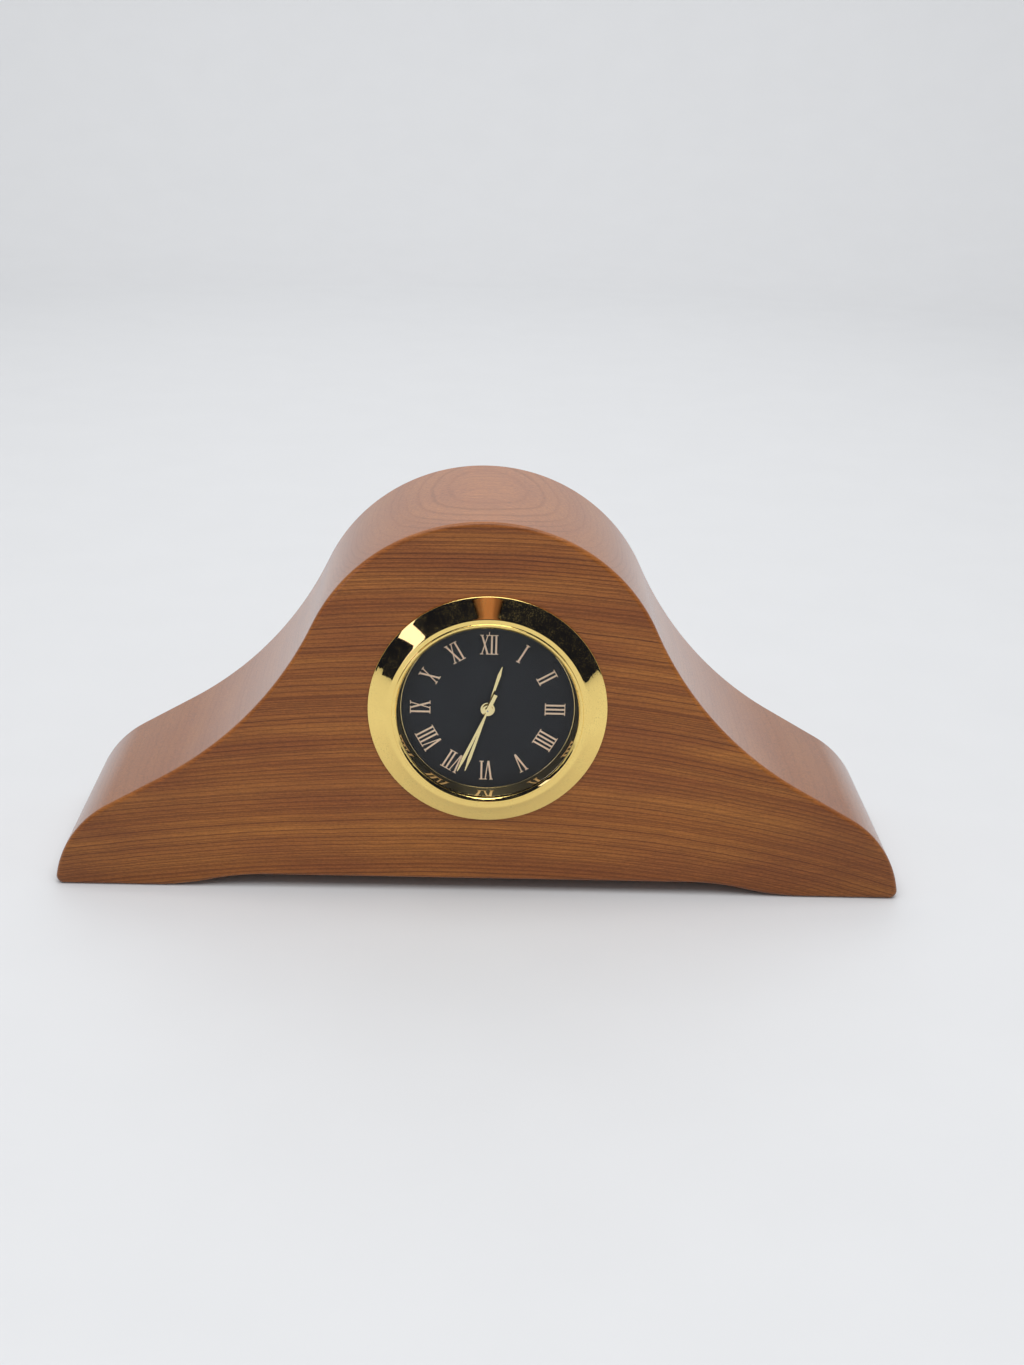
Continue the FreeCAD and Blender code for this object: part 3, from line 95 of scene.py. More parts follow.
def vertsOf(made):
    return [part for part in made["geom"] if isinstance(part, bmesh.types.BMVert)]


def toLinear(red, green, blue):
    steps = []
    for value in (red, green, blue):
        share = value / 255
        steps.append(share / 12.92 if share <= 0.04045 else ((share + 0.055) / 1.055) ** 2.4)
    return (*steps, 1)


def newMaterial(name):
    material = bpy.data.materials.new(name)
    material.use_nodes = True
    return material, material.node_tree.nodes["Principled BSDF"]


def feed(material, socket, value):
    if isinstance(value, bpy.types.NodeSocket):
        material.node_tree.links.new(value, socket)
    else:
        socket.default_value = value


def addNode(material, kind, settings=(), inputs=()):
    node = material.node_tree.nodes.new(kind)
    for key, value in dict(settings).items():
        setattr(node, key, value)
    for key, value in dict(inputs).items():
        feed(material, node.inputs[key], value)
    return node


def setShader(material, shader, **values):
    names = {"colour": "Base Color", "metal": "Metallic", "rough": "Roughness", "normal": "Normal",
             "specular": "Specular IOR Level", "coat": "Coat Weight", "coatRough": "Coat Roughness",
             "coatIor": "Coat IOR"}
    for key, value in values.items():
        feed(material, shader.inputs[names[key]], value)


def useSurface(material, shader, surface):
    feed(material, material.node_tree.nodes["Material Output"].inputs["Surface"], surface)
    material.node_tree.nodes.remove(shader)


def calc(material, operation, first, second=0.0, third=0.0):
    node = addNode(material, "ShaderNodeMath", {"operation": operation}, {0: first, 1: second, 2: third})
    return node.outputs[0]


def ramp(material, factor, stops, smooth=False):
    node = addNode(material, "ShaderNodeValToRGB", inputs={0: factor})
    node.color_ramp.interpolation = "EASE" if smooth else "LINEAR"
    elements = node.color_ramp.elements
    while len(elements) < len(stops):
        elements.new(1)
    for element, (place, colour) in zip(elements, stops):
        element.position = place
        element.color = colour if isinstance(colour, tuple) else (colour, colour, colour, 1)
    return node.outputs[0]


def blend(material, factor, first, second, mode="MIX"):
    node = addNode(material, "ShaderNodeMix", {"data_type": "RGBA", "blend_type": mode},
                   {0: factor, 6: first, 7: second})
    return node.outputs[2]


def shade(material, tone, factor, stops):
    return blend(material, 1.0, tone, ramp(material, factor, stops), "MULTIPLY")


def millimetres(material, scale=(1, 1, 1)):
    place = addNode(material, "ShaderNodeTexCoord").outputs["Object"]
    node = addNode(material, "ShaderNodeMapping",
                   inputs={"Vector": place, "Scale": [value / mm for value in scale]})
    return node.outputs[0]


def noise(material, vector, scale=1.0, detail=2.0, roughness=0.5):
    node = addNode(material, "ShaderNodeTexNoise",
                   inputs={"Vector": vector, "Scale": scale, "Detail": detail, "Roughness": roughness})
    return node.outputs[0]


def lineNoise(material, along, scale, detail=0.0):
    node = addNode(material, "ShaderNodeTexNoise", {"noise_dimensions": "1D"},
                   {"W": along, "Scale": scale, "Detail": detail})
    return node.outputs[0]


def bump(material, height, strength, distance):
    node = addNode(material, "ShaderNodeBump",
                   inputs={"Height": height, "Strength": strength, "Distance": distance * mm})
    return node.outputs[0]


print("stage: helpers ready")

photoView = {"place": (-2.19, -276.9, 134.0), "yaw": 1.42, "pitch": 20.72, "roll": 1.72,
             "lens": 48.65, "sensor": 36.0, "nearest": 0.01}


def makeCamera(view):
    yaw, pitch, roll = (math.radians(view[key]) for key in ("yaw", "pitch", "roll"))
    ahead = Vector((math.sin(yaw) * math.cos(pitch), math.cos(yaw) * math.cos(pitch), -math.sin(pitch)))
    level = Vector((math.cos(yaw), -math.sin(yaw), 0))
    upright = level.cross(ahead)
    right = math.cos(roll) * level + math.sin(roll) * upright
    up = math.cos(roll) * upright - math.sin(roll) * level
    lens = bpy.data.cameras.new("photo_camera")
    lens.lens = view["lens"]
    lens.sensor_width = view["sensor"]
    lens.clip_start = view["nearest"]
    camera = addObject("photo_camera", lens)
    aimed = Matrix((right, up, -ahead)).transposed().to_4x4()
    camera.matrix_world = Matrix.Translation(Vector(view["place"]) * mm) @ aimed
    bpy.context.scene.camera = camera


makeCamera(photoView)
print("stage: camera placed")

woodGrain = {
    "leftBend": 800.0, "rightBend": 430.0,      # mm, how the layers fall away to each side
    "crownHollow": 0.0065, "crownMiddle": 5.9,  # closes the layers into ovals on the crown
    "hollowFoot": 15.0, "hollowReach": 35.0, "hollowLeast": 0.15,
    "warp": 1.6, "warpScale": (1 / 52, 0.03, 0.03), "ripple": 0.3, "rippleScale": (0.16, 0.2, 0.3),
    "heartLevel": 60.45, "heartFade": 0.2,      # mm, no lines above this layer
    "rings": {"pitch": 0.68, "start": 0.5, "wander": 0.8, "wanderScale": 0.42,
              "shape": [(0.0, 0.1), (0.15, 0.0), (0.66, 0.1), (0.8, 0.85), (0.86, 1.0), (0.93, 1.0),
                        (0.99, 0.2)],
              "strength": [(0.0, 0.45), (0.5, 0.64), (0.8, 0.84), (1.0, 1.0)]},
    "fineRings": {"pitch": 0.42, "start": 0.0, "wander": 2.0, "wanderScale": 0.9,
                  "shape": [(0.0, 0.0), (0.4, 0.0), (0.65, 1.0), (0.85, 1.0), (1.0, 0.0)],
                  "strength": [(0.3, 0.0), (1.0, 0.72)]},
    "turnedLines": [(0.9, 0.16), (0.985, 0.55)],  # lines are faint on the flanks, clearer on the crown
    "lowLines": [(0.2, 0.9), (0.75, 1.0)], "brokenLines": [(0.38, 0.45), (0.52, 1.0)],
    "pale": (174, 109, 49), "tan": (153, 90, 39), "line": (84, 42, 19), "red": (134, 73, 37),
    "bandScale": 0.3, "bands": [(0.38, 0.0), (0.62, 1.0)], "bandMiddle": 0.5,
    "patchScale": (0.03, 0.05, 0.12), "patches": [(0.39, 0.0), (0.68, 0.7)], "patchMiddle": 0.3,
    "flankCalm": 0.35,                          # how much of the bands is left on the flanks
    "fibreScale": (0.2, 3.0, 6.0), "fibreTone": [(0.34, 0.74), (0.66, 1.16)],
    "fleckScale": (1.7, 3.0, 6.5), "fleckTone": [(0.36, 0.8), (0.6, 1.08)],
    # the edge colour and its share give a painted highlight line along the eased edges, partly thinner
    # lacquer there
    "endShade": [(0.45, 1.0), (1.0, 0.8)], "edge": (160, 98, 52), "edgeShare": 0.12,
    "rough": [(0.0, 0.42), (1.0, 0.55)], "lineGroove": -0.5, "fibreRidge": 0.4,
    "relief": 0.25, "reliefDepth": 0.04, "specular": 0.1, "coatIor": 1.3, "coatRough": 0.22,
}

woodenBody = {
    "width": 133.1, "height": 60.3, "thick": 34.9, "front": -16.3,
    "humpRadius": 28.6, "slopeLength": 10.0, "slopeAngle": 29.8,
    "shoulderRadius": 17.2, "shoulderDrop": 1.4, "heelRadius": 1.2,
    "archHeight": 2.1, "archRise": 18.2, "footLength": 15.2,
    "humpSteps": 40, "flankSteps": 28, "shoulderSteps": 24, "heelSteps": 12, "archSteps": 12,
    "edgeRound": 0.7, "edgeSteps": 4, "sharpAngle": 35,
    "boreX": 0.7, "boreZ": 30.8, "boreRadius": 17.5, "boreDepth": 9.5, "boreSteps": 120,
}


# which layer of the tree a point of the wood is in, in millimetres above the table at the middle
def layerLevel(material, grain, x, y, z):
    left, right = 1 / grain["leftBend"], 1 / grain["rightBend"]
    bend = calc(material, "MULTIPLY_ADD", calc(material, "GREATER_THAN", x, 0.0), right - left, left)
    level = calc(material, "MULTIPLY_ADD", calc(material, "MULTIPLY", x, x), bend, z)
    reach = grain["hollowReach"]
    near = calc(material, "MULTIPLY_ADD", z, 1 / reach, -grain["hollowFoot"] / reach)
    near = calc(material, "MINIMUM", calc(material, "MAXIMUM", near, grain["hollowLeast"]), 1.0)
    hollow = calc(material, "MULTIPLY", near, -grain["crownHollow"])
    back = calc(material, "SUBTRACT", y, grain["crownMiddle"])
    level = calc(material, "MULTIPLY_ADD", calc(material, "MULTIPLY", back, back), hollow, level)
    slow = noise(material, millimetres(material, grain["warpScale"]), detail=1.0)
    level = calc(material, "MULTIPLY_ADD", slow, grain["warp"], level)
    quick = noise(material, millimetres(material, grain["rippleScale"]), detail=3.0)
    return calc(material, "MULTIPLY_ADD", quick, grain["ripple"], level)


def layerLines(material, level, lines):
    wander = lineNoise(material, level, lines["wanderScale"], 1.0)
    growth = calc(material, "MULTIPLY_ADD", level, 1 / lines["pitch"],
                  calc(material, "MULTIPLY_ADD", wander, lines["wander"], lines["start"]))
    chance = addNode(material, "ShaderNodeTexWhiteNoise", {"noise_dimensions": "1D"},
                     {"W": calc(material, "FLOOR", growth)}).outputs[0]
    late = ramp(material, calc(material, "FRACT", growth), lines["shape"])
    return calc(material, "MULTIPLY", late, ramp(material, chance, lines["strength"]))


def calmDown(material, share, middle, calm):
    return calc(material, "MULTIPLY_ADD", calc(material, "SUBTRACT", share, middle), calm, middle)


def makeWood(grain, body):
    material, shader = newMaterial("oiled_cherry")
    x, y, z = addNode(material, "ShaderNodeSeparateXYZ", inputs={0: millimetres(material)}).outputs
    level = layerLevel(material, grain, x, y, z)
    facing = addNode(material, "ShaderNodeSeparateXYZ",
                     inputs={0: addNode(material, "ShaderNodeTexCoord").outputs["Normal"]})
    flat = calc(material, "ABSOLUTE", facing.outputs[1])
    turned = ramp(material, calc(material, "ABSOLUTE", facing.outputs[2]), grain["turnedLines"])
    fibre = noise(material, millimetres(material, grain["fibreScale"]), detail=5.0, roughness=0.66)
    fleck = noise(material, millimetres(material, grain["fleckScale"]), detail=3.0, roughness=0.7)

    dark = calc(material, "MULTIPLY", layerLines(material, level, grain["rings"]),
                calc(material, "MAXIMUM", flat, turned))
    fine = calc(material, "MULTIPLY", layerLines(material, level, grain["fineRings"]), flat)
    dark = calc(material, "MAXIMUM", dark, fine)
    height = calc(material, "MULTIPLY", level, 1 / body["height"])
    dark = calc(material, "MULTIPLY", dark, ramp(material, height, grain["lowLines"]))
    top = grain["heartLevel"]
    heart = addNode(material, "ShaderNodeMapRange",
                    inputs={0: level, 1: top, 2: top + grain["heartFade"], 3: 1.0, 4: 0.0}).outputs[0]
    dark = calc(material, "MULTIPLY", dark, heart)
    dark = calc(material, "MULTIPLY", dark, ramp(material, fibre, grain["brokenLines"]))

    calm = calc(material, "MULTIPLY_ADD", flat, 1 - grain["flankCalm"], grain["flankCalm"])
    bands = ramp(material, lineNoise(material, level, grain["bandScale"], 3.0), grain["bands"])
    patch = noise(material, millimetres(material, grain["patchScale"]))
    patches = ramp(material, patch, grain["patches"])
    tone = blend(material, calmDown(material, bands, grain["bandMiddle"], calm),
                 toLinear(*grain["pale"]), toLinear(*grain["tan"]))
    tone = blend(material, calmDown(material, patches, grain["patchMiddle"], calm), tone,
                 toLinear(*grain["red"]))
    tone = blend(material, dark, tone, toLinear(*grain["line"]))
    tone = shade(material, tone, fibre, grain["fibreTone"])
    tone = shade(material, tone, fleck, grain["fleckTone"])
    # painted shade: the wood is darkened towards both ends
    aside = calc(material, "MULTIPLY", calc(material, "ABSOLUTE", x), 2 / body["width"])
    tone = shade(material, tone, aside, grain["endShade"])
    # painted highlight: a lighter orange line along the eased edges, partly where the lacquer is thinner
    wear = addNode(material, "ShaderNodeAttribute", {"attribute_name": "edgeWearAndHighlight"}).outputs["Fac"]
    tone = blend(material, calc(material, "MULTIPLY", wear, grain["edgeShare"]), tone,
                 toLinear(*grain["edge"]))
    ridge = calc(material, "MULTIPLY_ADD", dark, grain["lineGroove"],
                 calc(material, "MULTIPLY", fibre, grain["fibreRidge"]))
    setShader(material, shader, colour=tone, specular=grain["specular"],
              rough=ramp(material, dark, grain["rough"]),
              normal=bump(material, ridge, grain["relief"], grain["reliefDepth"]),
              coat=1.0, coatIor=grain["coatIor"], coatRough=grain["coatRough"])
    return material


def makeWoodenBody(size, material):
    bm = bmesh.new()
    wear = bm.verts.layers.float.new("edgeWearAndHighlight")
    front = size["front"]
    slope = math.radians(size["slopeAngle"])
    outward = Vector((math.sin(slope), 0, math.cos(slope)))
    downhill = Vector((math.cos(slope), 0, -math.sin(slope)))
    hump = Vector((0, front, size["height"] - size["humpRadius"]))
    shoulder = Vector((size["width"] / 2 - size["shoulderRadius"], front, -size["shoulderDrop"]))
    slopeStart = shoulder + outward * size["shoulderRadius"] - downhill * size["slopeLength"]
    chord = slopeStart - hump
    spread = chord.length_squared - size["humpRadius"] ** 2
    hollow = spread / (2 * (size["humpRadius"] - chord.dot(outward)))
    flank = slopeStart + outward * hollow
    humpTurn = math.atan2(flank.x - hump.x, flank.z - hump.z)
    heelReach = size["shoulderRadius"] - size["heelRadius"]
    heelRise = size["heelRadius"] + size["shoulderDrop"]
    heelTurn = math.asin(heelRise / heelReach)
    heel = shoulder + Vector((heelReach * math.cos(heelTurn), 0, heelRise))
    archEnd = size["width"] / 2 - size["footLength"]
    archStart = archEnd - size["archRise"]
    archRadius = (size["archRise"] ** 2 + size["archHeight"] ** 2) / (4 * size["archHeight"])
    archTurn = math.asin(size["archRise"] / 2 / archRadius)

    corner = bm.verts.new(hump + Vector((0, 0, size["humpRadius"])))
    corner = arcFrom(bm, corner, hump, humpTurn, size["humpSteps"])
    corner = arcFrom(bm, corner, flank, slope - humpTurn, size["flankSteps"])
    corner = lineFrom(bm, corner, downhill * size["slopeLength"])
    corner = arcFrom(bm, corner, shoulder, math.pi / 2 - slope - heelTurn, size["shoulderSteps"])
    corner = arcFrom(bm, corner, heel, heelTurn + math.pi / 2, size["heelSteps"])
    corner = lineFrom(bm, corner, (archEnd - heel.x, 0, 0))
    corner = arcFrom(bm, corner, (archEnd, front, archRadius), archTurn, size["archSteps"])
    corner = arcFrom(bm, corner, (archStart, front, size["archHeight"] - archRadius), -archTurn,
                     size["archSteps"])
    lineFrom(bm, corner, (-archStart, 0, 0))
    bmesh.ops.mirror(bm, geom=bm.verts[:] + bm.edges[:], axis="X", merge_dist=tiny)
    bmesh.ops.contextual_create(bm, geom=bm.edges[:])
    made = bmesh.ops.extrude_face_region(bm, geom=bm.faces[:], use_keep_orig=True)
    bmesh.ops.translate(bm, vec=(0, size["thick"], 0), verts=vertsOf(made))
    bmesh.ops.recalc_face_normals(bm, faces=bm.faces)
    rims = [edge for edge in bm.edges if abs(edge.verts[0].co.y - edge.verts[1].co.y) < tiny]
    bmesh.ops.bevel(bm, geom=rims, offset=size["edgeRound"], offset_type="OFFSET", affect="EDGES",
                    segments=size["edgeSteps"], profile=0.5, material=-1)
    # each eased edge is marked strongest halfway round, for the painted highlight line
    for corner in bm.verts:
        depth = min(corner.co.y - front, front + size["thick"] - corner.co.y) / size["edgeRound"]
        corner[wear] = math.sin(math.pi * min(max(depth, 0), 1))

    # the front is filled again round the mouth of the bore
    fronts = [face for face in bm.faces if face.normal.y < -squareOn]
    face = max(fronts, key=lambda each: each.calc_area())
    outline = face.edges[:]
    bmesh.ops.delete(bm, geom=[face], context="FACES_ONLY")
    mouth = bmesh.ops.create_circle(bm, segments=size["boreSteps"], radius=size["boreRadius"],
                                    matrix=Matrix.Translation((size["boreX"], front, size["boreZ"]))
                                    @ Matrix.Rotation(math.pi / 2, 4, "X"))
    ring = list({edge for vert in mouth["verts"] for edge in vert.link_edges})
    bmesh.ops.triangle_fill(bm, edges=outline + ring, use_beauty=True, normal=(0, -1, 0))
    deep = vertsOf(bmesh.ops.extrude_edge_only(bm, edges=ring))
    bmesh.ops.translate(bm, vec=(0, size["boreDepth"], 0), verts=deep)
    bmesh.ops.contextual_create(bm, geom=[edge for edge in bm.edges
                                          if edge.verts[0] in deep and edge.verts[1] in deep])
    bmesh.ops.recalc_face_normals(bm, faces=bm.faces)
    piece = finishPiece(bm, "turned_wood", "clock_body", material, ["wooden_body"],
                        size["sharpAngle"])
    weighNormals(piece)


makeWoodenBody(woodenBody, makeWood(woodGrain, woodenBody))
print("stage: wooden body made")

insertPlace = {"x": woodenBody["boreX"], "z": woodenBody["boreZ"], "lip": -18.6}


# a closed ring turned about the insert's axis: the profile gives radius and depth behind the lip
def lathe(profile, place, rounds, roundSteps=3, steps=192):
    bm = bmesh.new()
    corners = [bm.verts.new((place["x"] + radius, place["lip"] + depth, place["z"]))
               for radius, depth in profile]
    for first, second in zip(corners, corners[1:] + corners[:1]):
        bm.edges.new((first, second))
    for index, size in rounds:
        bmesh.ops.bevel(bm, geom=[corners[index]], offset=size, segments=roundSteps, profile=0.5,
                        affect="VERTICES", material=-1)
    bmesh.ops.spin(bm, geom=bm.verts[:] + bm.edges[:], cent=(place["x"], 0, place["z"]), axis=(0, 1, 0),
                   angle=2 * math.pi, steps=steps, use_merge=True, use_duplicate=False)
    bmesh.ops.remove_doubles(bm, verts=bm.verts, dist=tiny)
    bmesh.ops.recalc_face_normals(bm, faces=bm.faces)
    return bm


giltWear = {
    "cloudScale": (0.5, 0.5, 0.5), "cloudTone": [(0.3, 0.96), (0.7, 1.03)],
    "dustSize": 0.17, "dust": [(0.54, 0.0), (0.68, 1.0)], "dustyPlaces": [(0.38, 0.15), (0.6, 1.0)],
    "grime": (104, 92, 62), "metal": [(0.0, 1.0), (1.0, 0.55)], "dullness": 0.55,
    "relief": 0.06, "reliefDepth": 0.03,
}


def makeGilt(name, colour, rough, dust, wear=giltWear):
    material, shader = newMaterial(name)
    cloud = noise(material, millimetres(material, wear["cloudScale"]), detail=3.0)
    speck = noise(material, millimetres(material), 1 / wear["dustSize"], detail=4.0, roughness=0.72)
    grime = calc(material, "MULTIPLY", ramp(material, speck, wear["dust"]), dust)
    grime = calc(material, "MULTIPLY", grime, ramp(material, cloud, wear["dustyPlaces"]))
    tone = blend(material, grime, toLinear(*colour), toLinear(*wear["grime"]))
    setShader(material, shader, colour=shade(material, tone, cloud, wear["cloudTone"]),
              metal=ramp(material, grime, wear["metal"]),
              rough=calc(material, "MULTIPLY_ADD", grime, wear["dullness"], rough),
              normal=bump(material, cloud, wear["relief"], wear["reliefDepth"]))
    return material


bezelShape = {
    "bore": 13.77, "mouth": 14.18, "mouthDrop": 0.41, "lipOuter": 14.5, "shelf": 15.27, "rim": 18.25,
    "skirt": 15.86, "recess": 14.32, "shelfDrop": 0.22, "faceEnd": 2.0, "proud": 2.3, "lensSeat": 0.6,
    "depth": 3.15, "lipRounds": (0.04, 0.05, 0.1, 0.08, 0.1), "rimRounds": (0.12, 0.06),
    "sag": 0.06, "sagSteps": 8, "sagInward": 0.48, "sagBack": 0.87,  # the face is very slightly hollow
    "wallStart": 1.5, "wallTop": 13.95, "wallFoot": 13.26, "wallGap": 0.02, "wallRound": 0.05,
    "bead": 0.08, "beadRound": 0.064, "beadSteps": 5, "sharpAngle": 30, "flatWeight": 95,
}


def makeBezel(size, place, material):
    face = []
    for step in range(1, size["sagSteps"]):
        share = step / size["sagSteps"]
        sink = size["sag"] * 4 * share * (1 - share)
        across = size["shelf"] + (size["rim"] - size["shelf"]) * share
        back = size["shelfDrop"] + (size["faceEnd"] - size["shelfDrop"]) * share
        face.append((across - sink * size["sagInward"], back + sink * size["sagBack"]))
    profile = [(size["bore"], size["mouthDrop"]), (size["mouth"], 0), (size["lipOuter"], 0),
               (size["lipOuter"], size["shelfDrop"]), (size["shelf"], size["shelfDrop"]), *face,
               (size["rim"], size["faceEnd"]), (size["rim"], size["proud"]),
               (size["skirt"], size["proud"]), (size["skirt"], size["depth"]),
               (size["recess"], size["depth"]), (size["recess"], size["lensSeat"]),
               (size["bore"], size["lensSeat"])]
    rim = profile.index((size["rim"], size["faceEnd"]))
    bm = lathe(profile, place, [*enumerate(size["lipRounds"]), *enumerate(size["rimRounds"], rim)])
    piece = finishPiece(bm, "gilt_bezel_ring", "insert", material, ["bezel"],
                        size["sharpAngle"])
    flattenAcross(piece)
    weighNormals(piece, size["flatWeight"])


def makeDialRing(size, place, material):
    start = size["wallStart"]
    outer = size["recess"] - size["wallGap"]
    beadTop = size["depth"] - size["bead"]
    beadInner = size["wallFoot"] - size["bead"]
    profile = [(size["wallTop"], start), (outer, start), (outer, size["depth"]),
               (beadInner, size["depth"]), (beadInner, beadTop), (size["wallFoot"], beadTop)]
    bead = profile.index((beadInner, beadTop))
    bm = lathe(profile, place, [(0, size["wallRound"]), (bead, size["beadRound"])], size["beadSteps"])
    piece = finishPiece(bm, "polished_wall", "insert", material, ["dial_ring"],
                        size["sharpAngle"])
    weighNormals(piece, size["flatWeight"])


gilt = makeGilt("polished_gilt", (255, 223, 136), 0.025, 0.42)
giltWall = makeGilt("polished_wall_gilt", (236, 212, 150), 0.015, 0.03)
makeBezel(bezelShape, insertPlace, gilt)
makeDialRing(bezelShape, insertPlace, giltWall)
print("stage: bezel made")

lensGlass = {"tint": (0.97, 0.98, 0.98, 1), "smearScale": (0.3, 0.3, 0.3),
             "smear": [(0.3, 0.01), (0.8, 0.04)], "ior": 1.25}


def makeLensGlass(glass):
    material, shader = newMaterial("lens_glass")
    clear = addNode(material, "ShaderNodeBsdfTransparent", inputs={0: glass["tint"]})
    smear = noise(material, millimetres(material, glass["smearScale"]), detail=3.0)
    gloss = addNode(material, "ShaderNodeBsdfGlossy",
                    inputs={"Color": (1, 1, 1, 1), "Roughness": ramp(material, smear, glass["smear"])})
    facing = addNode(material, "ShaderNodeFresnel", inputs={"IOR": glass["ior"]}).outputs[0]
    inside = addNode(material, "ShaderNodeNewGeometry").outputs["Backfacing"]  # clear from within
    facing = calc(material, "MULTIPLY", facing, calc(material, "SUBTRACT", 1.0, inside))
    mixed = addNode(material, "ShaderNodeMixShader",
                    inputs={0: facing, 1: clear.outputs[0], 2: gloss.outputs[0]})
    useSurface(material, shader, mixed.outputs[0])
    return material


metalLook = {"cloudScale": (0.4, 0.4, 0.4), "lineTone": [(0.3, 0.92), (0.7, 1.05)], "roughSpread": 0.16,
             "reliefDepth": 0.01}
plasticLook = {"cloudScale": (0.25, 0.25, 0.25), "fineTone": [(0.3, 0.94), (0.7, 1.05)],
               "roughSpread": 0.14, "reliefDepth": 0.02, "specular": 0.4}


def makeMetal(name, colour, rough, lines=(0.3, 0.3, 6.0), lineDepth=0.3, stain=0.1, look=metalLook):
    material, shader = newMaterial(name)
    brushed = noise(material, millimetres(material, lines), detail=3.0, roughness=0.6)
    cloud = noise(material, millimetres(material, look["cloudScale"]), detail=3.0)
    tone = shade(material, toLinear(*colour), cloud, [(0.3, 1 - stain), (0.7, 1.0)])
    tone = shade(material, tone, brushed, look["lineTone"])
    spread = look["roughSpread"]
    setShader(material, shader, colour=tone, metal=1.0,
              rough=calc(material, "MULTIPLY_ADD", brushed, spread, rough - spread / 2),
              normal=bump(material, brushed, lineDepth, look["reliefDepth"]))
    return material


def makePlastic(name, colour, rough, grain=0.25, depth=0.2, mottle=0.08, look=plasticLook):
    material, shader = newMaterial(name)
    fine = noise(material, millimetres(material), 1 / grain, detail=3.0, roughness=0.6)
    cloud = noise(material, millimetres(material, look["cloudScale"]))
    tone = shade(material, toLinear(*colour), cloud, [(0.3, 1 - mottle), (0.7, 1 + mottle)])
    tone = shade(material, tone, fine, look["fineTone"])
    spread = look["roughSpread"]
    setShader(material, shader, colour=tone, specular=look["specular"],
              rough=calc(material, "MULTIPLY_ADD", fine, spread, rough - spread / 2),
              normal=bump(material, fine, depth, look["reliefDepth"]))
    return material


copperWire = {
    # the valley and ridge colours are painted shade and painted highlight across each turn of wire
    "turnsInMm": 9.0, "valleyShade": (112, 48, 22), "ridge": (196, 104, 58), "cloudScale": (0.8, 0.8, 3.0),
    "cloudTone": [(0.3, 0.85), (0.7, 1.1)], "metal": 0.8, "rough": 0.32, "coat": 0.3, "coatRough": 0.2,
    "relief": 0.6, "reliefDepth": 0.04,
}


def makeCopperWire(wire):
    material, shader = newMaterial("enamelled_wire")
    point = addNode(material, "ShaderNodeSeparateXYZ", inputs={0: millimetres(material)})
    turns = calc(material, "FRACT", calc(material, "MULTIPLY", point.outputs[2], wire["turnsInMm"]))
    # painted shade in the valleys between turns and painted highlight on each turn's crest
    crown = ramp(material, turns, [(0.0, 0.0), (0.5, 1.0), (1.0, 0.0)], smooth=True)
    cloud = noise(material, millimetres(material, wire["cloudScale"]))
    tone = blend(material, crown, toLinear(*wire["valleyShade"]), toLinear(*wire["ridge"]))
    tone = shade(material, tone, cloud, wire["cloudTone"])
    setShader(material, shader, colour=tone, metal=wire["metal"], rough=wire["rough"],
              coat=wire["coat"], coatRough=wire["coatRough"],
              normal=bump(material, crown, wire["relief"], wire["reliefDepth"]))
    return material


boardLacquer = {
    "traceScale": 0.55, "traceEdge": [(0.05, 1.0), (0.09, 0.0)], "lacquer": (26, 88, 52),
    "trace": (58, 122, 68), "weaveScale": (4, 4, 4), "weaveTone": [(0.3, 0.9), (0.7, 1.08)],
    "rough": 0.35, "specular": 0.5, "relief": 0.3, "reliefDepth": 0.03,
}


def makeBoard(board):
    material, shader = newMaterial("board_lacquer")
    trace = addNode(material, "ShaderNodeTexVoronoi", {"feature": "DISTANCE_TO_EDGE"},
                    {"Vector": millimetres(material), "Scale": board["traceScale"]}).outputs[0]
    weave = noise(material, millimetres(material, board["weaveScale"]))
    copper = ramp(material, trace, board["traceEdge"])
    tone = blend(material, copper, toLinear(*board["lacquer"]), toLinear(*board["trace"]))
    tone = shade(material, tone, weave, board["weaveTone"])
    setShader(material, shader, colour=tone, rough=board["rough"], specular=board["specular"],
              normal=bump(material, copper, board["relief"], board["reliefDepth"]))
    return material


dialBlack = {
    "dark": (33, 34, 38), "light": (38, 39, 44), "gritScale": 6.0,
    "gritShare": [(0.3, 0.0), (0.75, 1.0)], "cloudScale": (0.12, 0.12, 0.12),
    "cloudTone": [(0.3, 0.95), (0.7, 1.05)], "rough": 0.6, "specular": 0.3,
    "relief": 0.015, "reliefDepth": 0.01,
}

numeralInk = {
    "dark": (240, 204, 172), "light": (252, 222, 194), "gritScale": 7.0,
    "gritShare": [(0.35, 0.0), (0.7, 1.0)], "metal": 0.1, "rough": 0.45,
    "relief": 0.3, "reliefDepth": 0.01,
}


def makeDialBlack(paint):
    material, shader = newMaterial("dial_black")
    grit = noise(material, millimetres(material), paint["gritScale"], detail=3.0, roughness=0.7)
    cloud = noise(material, millimetres(material, paint["cloudScale"]))
    tone = blend(material, ramp(material, grit, paint["gritShare"]),
                 toLinear(*paint["dark"]), toLinear(*paint["light"]))
    tone = shade(material, tone, cloud, paint["cloudTone"])
    setShader(material, shader, colour=tone, rough=paint["rough"], specular=paint["specular"],
              normal=bump(material, grit, paint["relief"], paint["reliefDepth"]))
    return material


def makeInk(paint):
    material, shader = newMaterial("numeral_ink")
    grit = noise(material, millimetres(material), paint["gritScale"], detail=3.0, roughness=0.7)
    tone = blend(material, ramp(material, grit, paint["gritShare"]),
                 toLinear(*paint["dark"]), toLinear(*paint["light"]))
    setShader(material, shader, colour=tone, metal=paint["metal"], rough=paint["rough"],
              normal=bump(material, grit, paint["relief"], paint["reliefDepth"]))
    return material


